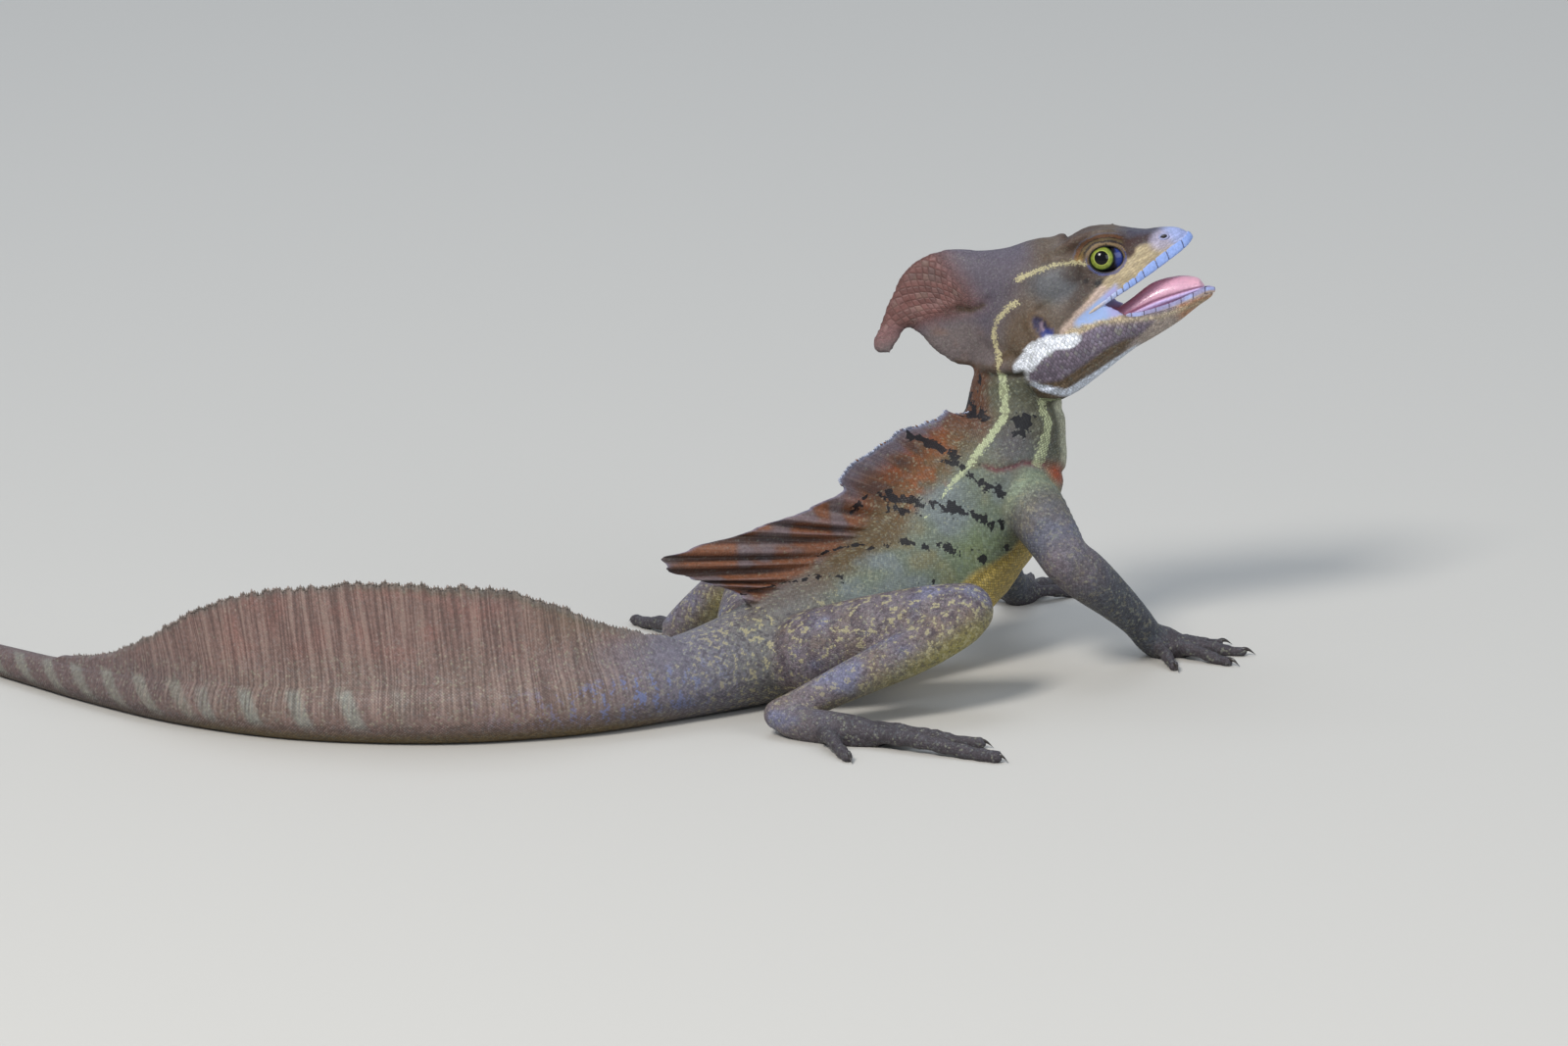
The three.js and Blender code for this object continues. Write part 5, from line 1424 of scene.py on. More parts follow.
# %% Scale groups
def scale_group(name, dims, random, turn):
    """Cells of a given pitch in millimetres: dome height 1 - r^2, seam, and two random tints."""
    group, enter, leave = new_group(
        name,
        [("Place", "NodeSocketVector", None), ("Pitch", "NodeSocketFloat", 1.0)],
        [(label, "NodeSocketFloat") for label in ("Dome", "Seam", "Tint", "Tint2")],
    )
    n = Nodes(group)
    spin = n.add("ShaderNodeMapping")
    n.link(enter.outputs["Place"], spin.inputs["Vector"])
    spin.inputs["Rotation"].default_value = (0, 0, turn)
    per_mm = n.math("DIVIDE", 1.0, enter.outputs["Pitch"])
    found = {}
    for feature in ("F1", "DISTANCE_TO_EDGE"):
        node = n.add("ShaderNodeTexVoronoi", feature=feature, voronoi_dimensions=dims)
        n.link(spin.outputs[0], node.inputs["Vector"])
        n.link(per_mm, node.inputs["Scale"])
        node.inputs["Randomness"].default_value = random
        found[feature] = node.outputs
    far = found["F1"]["Distance"]
    edge = found["DISTANCE_TO_EDGE"]["Distance"]
    dome = n.minus(1.0, n.times(far, far), clamp=True)
    n.link(n.times(dome, n.fit(edge, 0.0, 0.22)), leave.inputs["Dome"])
    n.link(n.minus(1.0, n.fit(edge, 0.02, 0.14)), leave.inputs["Seam"])
    tint = n.parts(found["F1"]["Color"])
    n.link(tint[0], leave.inputs["Tint"])
    n.link(tint[1], leave.inputs["Tint2"])
    return group


grain_cells = scale_group("grain_cells", "3D", 0.85, 0.0)
row_cells = scale_group("row_cells", "2D", 0.28, np.pi / 4)
print("nodes in a scale group", len(row_cells.nodes))

# %% [markdown]
# Every material starts the same way: one shader, coordinates in millimetres and a bump. Object
# coordinates are used because they stay with the piece.


# %% Material helpers
def place_group(n, group, place, pitch):
    """A scale group put into a material, with its place and its pitch."""
    node = n.add("ShaderNodeGroup", node_tree=group)
    n.link(place, node.inputs["Place"])
    node.inputs["Pitch"].default_value = pitch
    return node.outputs


def new_material(name):
    """A material with one Principled shader: the material, its nodes and the shader."""
    material = bpy.data.materials.new(name)
    material.use_nodes = True
    material.node_tree.nodes.clear()
    n = Nodes(material.node_tree)
    shader = n.add("ShaderNodeBsdfPrincipled")
    out = n.add("ShaderNodeOutputMaterial")
    n.link(shader.outputs[0], out.inputs[0])
    return material, n, shader


def in_mm(n):
    """The object's coordinates in millimetres."""
    place = n.add("ShaderNodeTexCoord").outputs["Object"]
    node = n.add("ShaderNodeVectorMath", operation="SCALE")
    n.link(place, node.inputs[0])
    node.inputs["Scale"].default_value = 1 / MM
    return node.outputs[0]


def relief(n, shader, height, distance, strength=1.0):
    """Bump from a height of 0 to 1 that stands for a distance in millimetres."""
    bump = n.add("ShaderNodeBump")
    n.put(bump.inputs["Strength"], strength)
    bump.inputs["Distance"].default_value = distance * MM
    n.link(height, bump.inputs["Height"])
    n.link(bump.outputs[0], shader.inputs["Normal"])


# %% [markdown]
# The skin's finish first reads all that the mesh has stored. It takes rows of scales where they
# run evenly and grains elsewhere, finer ones on the head.

# %% What the skin's finish reads
GRAIN_PITCH = 0.62
FINE_PITCH = 0.42


def read_skin(n):
    """The stored values under plain names, and the cells: rows where they are even, else grains."""
    s = SimpleNamespace(place=in_mm(n), paint=n.attribute("paint", "Color"))
    s.mm, s.round_mm, s.threads = n.parts(n.attribute("line_at"))
    s.in_rows, s.specks, s.fine_share = n.parts(n.attribute("weights"))
    s.black_far, s.stripe_far, s.lid_ring = n.parts(n.attribute("marks"))
    s.blue, s.wet, s.crisp = n.parts(n.attribute("extra"))
    row_at = n.attribute("rows")
    s.above_eye = n.parts(row_at)[2]
    rows = place_group(n, row_cells, row_at, 1.0)
    grain = place_group(n, grain_cells, s.place, GRAIN_PITCH)
    fine = place_group(n, grain_cells, s.place, FINE_PITCH)
    for key in ("Dome", "Seam", "Tint", "Tint2"):
        grains = n.blend(s.fine_share, grain[key], fine[key])
        setattr(s, key.lower(), n.blend(s.in_rows, grains, rows[key]))
    return s


# %% [markdown]
# Real scales differ a little from one to the next. Each takes its own tone from its random
# tint, a few turn cool or pale, and a soft mottling runs over all. Wet skin stays plain.


# %% Tones and specks of the scales
def scale_tones(n, s):
    """The paint times a tone for each scale and a mottling, with cool scales and pale flecks."""
    dry = n.minus(1.0, s.wet)
    shown = n.times(n.fit(s.crisp, 0.1, 0.4, 0.5, 1.0), dry)
    base = n.mix(shown, s.paint, n.grey(n.fit(s.tint, 0.0, 1.0, 0.74, 1.22)), "MULTIPLY")
    cool = n.times(n.fit(s.tint2, 0.55, 0.95), n.fit(s.fine_share, 0.0, 1.0, 0.12, 0.05))
    base = n.coat(cool, base, "8fa0a4")
    mottle = n.grey(n.fit(n.noise(s.place, 1.3, 5.0, 0.65), 0.3, 0.7, 0.84, 1.14))
    base = n.mix(dry, base, n.mix(1.0, base, mottle, "MULTIPLY"))
    chosen = n.fit(n.plus(s.tint2, n.times(n.noise(s.place, 0.55), 0.5)), 1.1, 1.25)
    pale = n.times(chosen, n.fit(s.fine_share, 0.0, 1.0, 0.17, 0.05))
    return n.coat(n.times(pale, n.fit(s.crisp, 0.35, 0.5, 1.0, 0.0)), base, "b3b184")


def scale_specks(n, s, base):
    """Cream and dark scales in clusters, where noise plus the tint is high or low."""
    cluster = n.plus(n.times(s.tint, 0.16), n.noise(s.place, 0.6, 2.0))
    cream = n.times(n.fit(cluster, 0.66, 0.72), s.specks)
    base = n.coat(n.times(cream, 0.75), base, "aaa27c")
    dark = n.times(n.fit(cluster, 0.5, 0.42), s.specks)
    return n.coat(n.times(dark, 0.5), base, "3c3440")


# %% [markdown]
# The hips carry short blue dashes round the body, and the tail's sail fine threads that run up
# it. Both are noise on the body's own coordinates, squeezed in one direction.


# %% Dashes and threads
def blue_dashes(n, s, base):
    """Blue dashes: noise squeezed to 0.35 round the body."""
    dashes = n.noise(n.flat_place(s.mm, n.times(s.round_mm, 0.35)), 0.45)
    fleck = n.plus(n.times(s.tint, 0.2), dashes)
    return n.coat(n.times(n.fit(fleck, 0.66, 0.72), n.times(s.blue, 0.75)), base, "66739f")


def sail_threads(n, s, base):
    """Dark and pale threads: a swaying sine along the body, plus noise drawn out up the sail."""
    drawn_out = n.flat_place(s.mm, n.times(s.round_mm, 0.045))
    sway = n.times(n.noise(drawn_out, 0.22, 2.0), 9.0)
    fibre = n.math("SINE", n.times(n.plus(s.mm, sway), 2 * np.pi / 1.45))
    streak = n.plus(n.times(fibre, 0.11), n.noise(drawn_out, 0.7, 4.0, 0.65))
    base = n.coat(n.times(n.fit(streak, 0.5, 0.34), n.times(s.threads, 0.5)), base, "4a3c38")
    base = n.coat(n.times(n.fit(streak, 0.52, 0.68), n.times(s.threads, 0.36)), base, "a39084")
    return base, streak


# %% [markdown]
# The sharp marks are cut out of the stored distances. Adding each scale's own random number
# makes the border follow the scales, and noise makes it wander, so a bar looks grown.


# %% Stripes, lid bands and black marks
# place and half width in lid ovals, colour, and whether the band lies below the eye
LID_BANDS = [
    # the near-black band at 1.36 is painted shade in the crease pressed in above the eye
    (1.15, 0.15, "8a7350", False), (1.36, 0.1, "1a1210", False), (1.5, 0.12, "665535", False),
    (1.62, 0.05, "33251d", False), (1.76, 0.14, "6d4427", False), (1.95, 0.06, "625d68", False),
    (1.12, 0.12, "4c5080", True),
]


def cut_marks(n, s, base):
    """Pale stripes, bands of the lids and black marks, each where its ragged distance is small."""
    jitter = n.times(n.minus(s.tint, 0.5), 0.9)
    wobble = n.times(n.minus(n.noise(s.place, 0.33, 3.0), 0.5), 6.5)
    stripe_far = n.plus(s.stripe_far, n.plus(jitter, n.times(wobble, 0.15)))
    dotted = n.fit(n.plus(s.tint2, n.noise(s.place, 0.5)), 0.55, 1.0, 0.45, 1.0)
    on_stripe = n.times(n.fit(stripe_far, 0.2, -0.15), dotted)
    cream = n.coat(s.fine_share, (*srgb("bec69c"), 1.0), "cbc193")
    base = n.mix(n.times(on_stripe, 0.78), base, cream)
    ragged = n.plus(s.lid_ring, n.plus(n.times(jitter, 0.08), n.times(wobble, 0.03)))
    for middle, half, code, below in LID_BANDS:
        near_band = n.fit(n.math("ABSOLUTE", n.minus(ragged, middle)), half, 0.45 * half)
        cover = n.minus(1.0, s.above_eye) if below else s.above_eye
        base = n.coat(n.times(n.times(near_band, cover), 0.72), base, code)
    gaps = n.fit(n.noise(s.place, 0.42, 1.0), 0.5, 0.66, 0.0, 1.9)
    black_far = n.plus(n.plus(s.black_far, gaps), n.plus(jitter, wobble))
    base = n.coat(n.times(n.fit(black_far, 0.35, 0.0), 0.95), base, "0f0f16")
    return base, on_stripe


# %% [markdown]
# Last come the dark seams, the gloss and the relief. A scale shines most on its dome, and wet
# skin shines all over. One material for the whole body leaves no borders.


# %% Skin material
def skin_material(name):
    """Scaled skin that reads its colours, rows and marks from the mesh's attributes."""
    material, n, shader = new_material(name)
    s = read_skin(n)
    base = scale_specks(n, s, scale_tones(n, s))
    base, streak = sail_threads(n, s, blue_dashes(n, s, base))
    base, on_stripe = cut_marks(n, s, base)
    seam_strength = n.plus(s.crisp, n.times(on_stripe, 0.2))
    seam = n.times(s.seam, n.blend(s.wet, seam_strength, 0.0))
    n.link(n.coat(seam, base, "29231f"), shader.inputs["Base Color"])
    dry_roughness = n.fit(s.dome, 0.0, 1.0, 0.66, 0.44)
    n.link(n.blend(s.wet, dry_roughness, 0.14), shader.inputs["Roughness"])
    shader.inputs["Specular IOR Level"].default_value = 0.32
    scaled = n.plus(s.dome, n.times(streak, s.threads))
    height = n.blend(s.wet, scaled, n.noise(s.place, 0.5))
    relief(n, shader, height, 0.2, n.fit(s.crisp, 0.08, 0.5, 0.22, 1.0))
    return material


skin_finish = skin_material("skin_finish")
skin.data.materials.append(skin_finish)
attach(skin, "root")
LIMB_PARTS = (("fore", ("upper_arm", "forearm", "hand")), ("hind", ("thigh", "shank", "foot")))
LIMB_NODES = [f"{leg}_{side}_{part}"
              for leg, parts in LIMB_PARTS for side in ("right", "left") for part in parts]
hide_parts("tail_end", "tail_middle", "tail_base", "torso", "neck", "head", "head_crest", "lower_jaw",
            *LIMB_NODES)
print("nodes in the skin's finish", len(skin_finish.node_tree.nodes))

# %% [markdown]
# ## Sails
# The sails are folds of skin held up by rays. Each is one closed surface that sits astride the
# back like a saddle: on both sides it rises out of the flank, curves up into the sheet, and
# meets the other side along a thin, uneven edge. The same paint and rows run up from the skin.

# %% Sail tables
# station, length of the ray, lean towards the tail in degrees
BACK_SAIL = np.array([
    (18.5, 3.2, -12), (17.9, 6.2, -10), (17.4, 9.0, -6), (16.8, 13.4, 4), (16.4, 17.0, 13), (16.1, 20.2, 20),
    (15.85, 20.6, 22),  # rear corner of the front lobe
    (15.68, 16.8, 23),  # notch
    (15.48, 22.8, 34), (15.12, 31.2, 46), (14.79, 40.0, 59),
    (14.52, 51.5, 65),  # tip of the rear lobe
    (14.24, 52.6, 68), (13.94, 39.8, 69), (13.54, 27.6, 69), (13.17, 11.5, 68), (12.85, 2.4, 60),
])
TAIL_SAIL = np.array([
    (12.05, 1.4, 8), (11.75, 4.0, 3), (11.5, 6.9, 0), (11.25, 11.0, 0), (11.0, 16.0, 0), (10.5, 23.6, 1),
    (10.0, 26.7, 2), (9.5, 28.0, 4), (9.0, 26.6, 5), (8.6, 24.4, 7), (8.25, 20.4, 10), (8.0, 16.2, 12),
    (7.75, 11.9, 14), (7.5, 8.6, 16), (7.25, 5.2, 17), (6.9, 2.8, 18), (6.4, 1.2, 20),
])
BACK_SADDLE = (50, 44, 38, 32, 27, 22, 18, 15)  # degrees round at which a sail leaves the flank
TAIL_SADDLE = (66, 58, 51, 44, 38, 33, 29, 26)


def sail_row(table, at):
    """Length and lean of a sail's ray at stations, on a smooth curve through its table."""
    index = np.interp(at, table[::-1, 0], np.arange(len(table))[::-1].astype(float))
    length, lean = smooth(table[:, 1:], index).T
    return np.maximum(length, 0.5), np.radians(lean)


print("longest rays", BACK_SAIL[:, 1].max(), "and", TAIL_SAIL[:, 1].max(), "mm")

# %% [markdown]
# On each side a row of points follows the flank up to the root and turns into the ray. The
# width falls off as exp(-distance / fillet), which gives the soft foot of a real fold of skin.


# %% Surface of a sail
def sail_surface(table, saddle_at, fillet, columns, rows, rays, pleat):
    """Rings of a sail from front to back; for each point its station, mm along, mm round, share
    up, pleat and distance from the edge; and the line of its edge."""
    mm = np.linspace(*np.interp(table[[0, -1], 0], fine_t, arc), columns)
    at = np.interp(mm, arc, fine_t)
    centre, along, side, top, half, up, _ = body_frame(at)
    length, lean = sail_row(table, at)
    share = np.abs(mm - mm[0]) / abs(mm[-1] - mm[0])
    ends = ease(share, 0, 0.03) * fade(share, 0.97, 1)
    wave = np.cos(2 * np.pi * rays * share)
    edge_line = np.column_stack([mm, 0 * mm, 0 * mm])
    fray = noise(edge_line, 0.9, 7) * 0.3 + noise(edge_line, 3.1, 8) * 0.5
    length = (length * (0.985 + 0.015 * wave) + fray * ease(length, 2, 8)) * (0.15 + 0.85 * ends)
    rise = top * np.cos(lean)[:, None] - along * np.sin(lean)[:, None]
    degrees = np.array(saddle_at, float)
    turned = np.radians(degrees)
    out = np.linspace(0, 1, rows) ** 1.25
    faces, places = [], []
    for sign in (1, -1):
        # the saddle, sunk into the skin at its lower rim
        lift = np.interp(degrees, degrees[[-1, 3, 0]], [0.12, 0.12, -0.4])[None] - 0.5 * (1 - ends)[:, None]
        across = (half[:, None] + lift) * np.sin(turned)
        high = (up[:, None] + lift) * np.cos(turned)
        saddle = centre[:, None] + side[:, None] * (sign * across)[..., None] + top[:, None] * high[..., None]
        # the sheet, thinning from its foot to its edge
        root = centre + top * (high[:, -1:])
        far = length[:, None] * out
        edge = 0.34 + 0.5 * (1 - out) + 0.07 * wave[:, None] * np.minimum(1, 4 * out)
        width = edge + (across[:, -1:] - edge[:, :1]) * np.exp(-far / fillet)
        width = width * np.sqrt(np.clip(1 - out ** 12, 0.02, 1))
        bend = pleat(at, out)
        aside = side[:, None] * (bend + sign * width)[..., None]
        sheet = root[:, None] + rise[:, None] * far[..., None] + aside
        faces.append(np.concatenate([saddle, sheet[:, 1:]], 1))
        # what the paint and the rows need to know of each point
        low = turned * np.interp(at, fine_t, fine_girth)[:, None]
        none = np.zeros_like(low)
        y = np.concatenate([low, low[:, -1:] - far[:, 1:]], 1)
        up_share = np.concatenate([none, np.tile(out[1:], (columns, 1))], 1)
        turn = np.concatenate([none, sign * bend[:, 1:]], 1)
        left = np.concatenate([none + 99.0, length[:, None] - far[:, 1:]], 1)
        spans = [np.broadcast_to(v[:, None], y.shape) for v in (at, mm)]
        places.append(np.stack([*spans, y, up_share, turn, left], -1))
    rings = np.concatenate([faces[0], faces[1][:, ::-1]], 1)
    place = np.concatenate([places[0], places[1][:, ::-1]], 1)
    tips = root + rise * length[:, None] + side * pleat(at, np.ones(1))
    return rings, place, (mm, at, tips, rise, side)


def build_sail(name, table, form, pleat, colours, nodes):
    """A sail piece with the skin's material and its own colours laid over the skin's paint."""
    rings, place, edge = sail_surface(table, *form, pleat)
    shape, faces = outward(tube(rings))
    flat = place.reshape(-1, place.shape[-1])
    flat = np.concatenate([flat, place[0].mean(0)[None], place[-1].mean(0)[None]])
    at, mm, y, share, turn, left = flat.T
    made = make_object(name, shape, faces)
    degrees = np.degrees(y / np.interp(at, fine_t, fine_girth))
    skin_paint = paint_body(at, mm, np.maximum(degrees, -20), shape)
    black, _ = mark_distances(mm, y)
    tail = table[0, 0] < 13
    lines = fade(at, 10.9, 12.0) * ease(at, 6.6, 8.2) if tail else 0.4 * ease(-y, 1, 6)
    none = 0 * y
    give(made, "paint", colours(skin_paint, at, mm, y, share, turn, left, shape))
    give(made, "rows", row_place(mm, y))
    give(made, "line_at", np.column_stack([mm, y, lines]))
    give(made, "weights", np.column_stack([1 - 0.5 * ease(-y, 2, 8), none, none]))
    give(made, "marks", np.column_stack([black, none + 30, none + 9]))
    give(made, "extra", np.column_stack([none, none, none + 0.2]))
    made.data.materials.append(skin_finish)
    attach(made, "root")
    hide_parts(*nodes)
    print(name, "triangles", sum(len(f) - 2 for f in faces))
    return edge


# %% [markdown]
# The back's sail is half folded: its rear lobe hangs in deep pleats between the rays. Its front
# lobe and the tail's sail only sway. The same sideways push says where painted shade darkens a
# crease and where a painted highlight lightens a ridge.


# %% Build the sails
def back_pleat(at, out):
    """Sway of the back's sail: a slow wave, and deep pleats between the rays of the rear lobe."""
    rear = fade(at, 15.45, 15.75)
    phase = 2 * np.pi * (15.7 - at) / 0.36
    depth = np.minimum(1, 2.2 * out) * (1 - 0.35 * out)
    folds = 1.3 * (rear * np.sin(phase + 0.8 * np.sin(0.5 * phase)))[:, None] * depth
    return folds + 0.9 * np.sin(at * 2.1)[:, None] * out ** 2


def tail_pleat(at, out):
    """Sway of the tail's sail: a slow wave that grows towards the edge."""
    return 1.0 * np.sin(at * 3.3)[:, None] * out ** 2


def back_colours(paint, at, mm, y, share, turn, left, where):
    """Rust with grey patches, a slate edge on the front lobe, painted shade in the creases between the pleats
    and a painted highlight on their ridges.
    """
    patch = noise(where, 5.0, 11)
    fine = noise(np.column_stack([mm, y * 0.16, 0 * y]), 2.0, 12)
    up = ease(-y, -3, 4)
    rear = fade(at, 15.5, 15.8)
    front = up * (1 - rear)
    return layers(
        paint,
        ("69432f", up * 0.9),
        ("7d4f36", up * rear * ease(patch, -0.3, 0.3)),
        ("71666a", up * rear * ease(-patch, -0.1, 0.4) * 0.8),
        ("88461f", front * ease(fine, 0.0, 0.5) * fade(share, 0.5, 0.9) * 0.8),
        ("3f2f30", front * ease(-fine, 0.15, 0.6) * 0.6),
        ("5f5a66", front * ease(share + 0.2 * fine, 0.5, 0.9) * 0.8),
        ("7b7f96", ease(-left, -1.4, -0.2) * up * 0.7),
        # painted shade where a pleat pushes the surface in, painted highlight where it pushes it out
        ("2c1d19", up * rear * ease(-turn, 0.25, 1.0) * 0.8),
        ("857074", up * rear * ease(turn, 0.4, 1.2) * 0.45),
    )


def tail_colours(paint, at, mm, y, share, turn, left, where):
    """Mauve brown, browner in front, with a dark olive border along the edge."""
    patch = noise(where, 6.0, 13)
    up = ease(-y, -3, 10)
    return layers(
        paint,
        ("80665f", up * 0.85),
        ("6c5b4a", up * ease(at, 10.4, 11.3)),
        ("8a625a", up * ease(patch, 0.0, 0.5) * 0.45),
        ("5f594b", ease(-left, -3.4, -0.8) * up * ease(at, 9.0, 10.0) * 0.8),
        ("69615b", ease(-left, -2.0, -0.4) * up * 0.8),
    )


BACK_FORM = (BACK_SADDLE, 2.2, 340, 64, 17)  # saddle, length of the fillet in mm, columns, rows, rays
TAIL_FORM = (TAIL_SADDLE, 5.0, 460, 40, 60)
TAIL_NODES = ["tail_sail_front", "tail_sail_rear"]
back_edge = build_sail("back_sail_skin", BACK_SAIL, BACK_FORM, back_pleat, back_colours, ["back_sail"])
tail_edge = build_sail("tail_sail_skin", TAIL_SAIL, TAIL_FORM, tail_pleat, tail_colours, TAIL_NODES)

# %% [markdown]
# ## Plates
# Lips, lids, claws and spines are horny plates without scales. They share a plainer material
# that takes its colour from the mesh, so that one finish serves many pieces.


# %% Plate material
def plate_material(name, rough=0.42, bump=0.05, coat=0.0):
    """Horny or wet surfaces: painted colour, fine noise in tone and relief."""
    material, n, shader = new_material(name)
    place = in_mm(n)
    grain = n.noise(place, 1.6, 5.0)
    tone = n.grey(n.fit(grain, 0.2, 0.8, 0.8, 1.15))
    n.link(n.mix(1.0, n.attribute("paint", "Color"), tone, "MULTIPLY"), shader.inputs["Base Color"])
    n.link(n.fit(grain, 0.2, 0.8, rough + 0.08, rough - 0.08), shader.inputs["Roughness"])
    shader.inputs["Coat Weight"].default_value = coat
    shader.inputs["Coat Roughness"].default_value = 0.06
    relief(n, shader, grain, bump)
    return material


plate_finish = plate_material("plate_finish")


def finish_piece(name, part, paint, material, nodes=()):
    """A piece made from one part, painted, given its material and set on the root body."""
    made = make_object(name, part[0], part[1])
    give(made, "paint", paint)
    made.data.materials.append(material)
    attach(made, "root")
    if nodes:
        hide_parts(*nodes)
    print(name, "faces", len(part[1]))
    return made


# %% [markdown]
# A fringe of tiny spines stands on the nape and the front lobe, and a finer comb on the tail's
# sail. Each has only a few faces, and all are made at once, as arrays.

# %% Spines along the sails
SPINE_SIDES = 6
SPINE_POINTS = 2 * SPINE_SIDES + 2


def spines(base, way, across, length, radius):
    """Cones of six sides: base + ring, then 0.8 ring half way up, and a tip at base + way length."""
    beside = unit(across)
    ahead = unit(np.cross(beside, way))
    a = np.arange(SPINE_SIDES) * np.pi / 3
    ring = np.cos(a)[None, :, None] * beside[:, None] + np.sin(a)[None, :, None] * ahead[:, None]
    ring = ring * radius[:, None, None]
    low = base[:, None] + ring
    high = base[:, None] + 0.8 * ring + (0.5 * length[:, None] * way)[:, None]
    tip = base + way * length[:, None]
    points = np.concatenate([low, high, base[:, None], tip[:, None]], 1).reshape(-1, 3)
    one = []
    for j in range(SPINE_SIDES):
        k = (j + 1) % SPINE_SIDES
        one += [[12, k, j], [j, k, 6 + k, 6 + j], [6 + j, 6 + k, 13]]
    faces = [[v + SPINE_POINTS * i for v in face] for i in range(len(base)) for face in one]
    return points, faces


def edge_spines(edge, first, last, pitch, size, seed):
    """Spines along part of a sail's edge, between two stations, a pitch apart."""
    mm, at, tips, rise, side = edge
    run = run_along(tips)
    inside = (at <= first) & (at >= last)
    wanted = np.arange(run[inside].min(), run[inside].max(), pitch)
    put = [np.stack([np.interp(wanted, run, v[:, c]) for c in range(3)], 1) for v in (tips, rise, side)]
    random = np.random.default_rng(seed).uniform(0.7, 1.25, (2, len(wanted)))
    base = put[0] - put[1] * 0.35 * size
    way = unit(put[1] + 0.35 * (random[:1].T - 1))
    return spines(base, way, put[2], size * random[0], 0.42 * size * random[1])


def spine_tones(part, seed):
    """A random number from 0 to 1 for each spine, given to all of its points."""
    number = len(part[0]) // SPINE_POINTS
    return np.repeat(np.random.default_rng(seed).uniform(0, 1, number), SPINE_POINTS)


fringe = edge_spines(back_edge, 18.45, 15.75, 0.62, 0.8, 1)
tone = spine_tones(fringe, 5)
fringe_paint = layers(spread("6d7082", len(tone)), ("a9afc2", ease(tone, 0.4, 0.8)),
                      ("6d4630", fade(tone, 0.1, 0.2)))
finish_piece("nape_fringe", outward(fringe), fringe_paint, plate_finish)
comb = edge_spines(tail_edge, 11.9, 6.7, 1.0, 0.95, 2)
tone = spine_tones(comb, 6)
comb_paint = layers(spread("5f5850", len(tone)), ("8a7c74", tone))
finish_piece("tail_comb", outward(comb), comb_paint, plate_finish)

# %% [markdown]
# ## Lips
# Each lip is a row of smooth plates. It is one round tube carried along the lip line of the
# skull's or the jaw's table, so it always fits them, and it is pinched where two plates meet.
# Separate plates would leave gaps at the bends.


# %% Lips
def lip_band(table, first, columns, inset, lift, out, tall, sutures, lean):
    """A tube along the lip: centre + outward out cos a + up tall sin a, drawn in at each suture."""
    row = smooth(table, np.linspace(first, 0, 240))
    x, y, z = row[:, columns].T
    right = np.stack([x - inset * 0.3, -(y - inset), z + (lift[0] * tall(x) + lift[1])], 1)
    line = np.concatenate([right, (right * MIRROR)[::-1][1:]])
    size = tall(line[:, 0])
    way = unit(np.gradient(line[:, :2], axis=0))
    outside = np.column_stack([way[:, 1], -way[:, 0], 0 * way[:, 0]])
    a = circle(24)
    seam = np.zeros((len(line), 24))
    for suture in sutures:
        seam = np.maximum(seam, hump(line[:, :1] - suture, lean * np.sin(a), 0.17))
    index = np.arange(len(line))
    ends = np.clip(np.minimum(index, index[::-1]) / 12, 0.05, 1)[:, None] ** 0.5
    radius_out = out * ends * (1 - 0.22 * seam)
    radius_up = size[:, None] * ends * (1 - 0.08 * seam)
    flat = np.sign(np.cos(a)) * np.abs(np.cos(a)) ** 0.7
    rings = line[:, None] + outside[:, None] * (radius_out * flat)[..., None]
    rings = rings + (radius_up * np.sin(a))[..., None] * [0, 0, 1.0]
    part = outward(tube(rings))
    high = np.tile(np.sin(a), len(line))
    return part, np.concatenate([seam.ravel(), [0, 0]]), np.concatenate([high, [0, 0]])


def upper_tall(x):
    """Half height of the upper lip's plates, by their place along the head."""
    return np.interp(x, [-6, 1, 5, 13, 22, 27], [0.4, 0.7, 1.05, 1.4, 1.45, 1.2])


def lower_tall(x):
    """Half height of the lower lip's plates, by their place along the jaw."""
    return np.interp(x, [16, 20, 30, 42, 45], [0.6, 0.9, 0.95, 0.9, 0.7])


UPPER_SUTURES = (24.6, 19.8, 16.2, 12.0, 9.4, 7.2, 5.2, 3.2, 1.4)
LOWER_SUTURES = (43.2, 39.9, 36.5, 33.2, 29.5, 26.3, 23.0, 20.7)
part, seam, high = lip_band(SKULL, 7.0, [0, 8, 9], 0.1, (1.0, -0.3), 0.66, upper_tall, UPPER_SUTURES, 0.35)
lip_x = part[0][:, 0]
lip_paint = layers(
    spread("88a0d8", len(lip_x)),
    ("a3aed0", fade(lip_x, 2, 8)),
    ("b8a99a", fade(lip_x, -4, 1)),
    ("9c98a8", ease(high, 0.7, 0.95) * 0.6),
    ("2f2a45", ease(seam, 0.35, 0.8)),
)
finish_piece("upper_lip", (from_head(part[0]), part[1]), lip_paint, plate_finish)
part, seam, high = lip_band(JAW, 5.0, [0, 1, 2], 0.05, (0.0, -0.45), 0.42, lower_tall, LOWER_SUTURES, 0.2)
lip_x = part[0][:, 0]
lip_paint = layers(
    spread("9aa4d0", len(lip_x)),
    ("8f8bad", ease(noise(part[0], 3.0, 15), -0.2, 0.3)),
    ("b09a8c", fade(high, -0.6, 0.1) * ease(lip_x, 24, 34)),
    ("c0b6ac", fade(lip_x, 19, 23)),
    ("3a3044", ease(seam, 0.35, 0.8)),
)
finish_piece("lower_lip", (from_jaw(part[0]), part[1]), lip_paint, plate_finish)

# %% [markdown]
# ## Eyes
# The eyeball bulges a little at the cornea. The pupil and the rings of the iris are painted by
# the distance from the gaze line, on rings of points that run round that line, so they stay
# perfect circles. A flat disc behind a lens would look deeper, but it can't be exported.


# %% Eyes
def on_side(part, sign):
    """A closed part of the head's frame on its right (-1) or left (1) side, faces outwards."""
    points, faces = part
    return outward((from_head(points * [1, sign, 1]), faces))


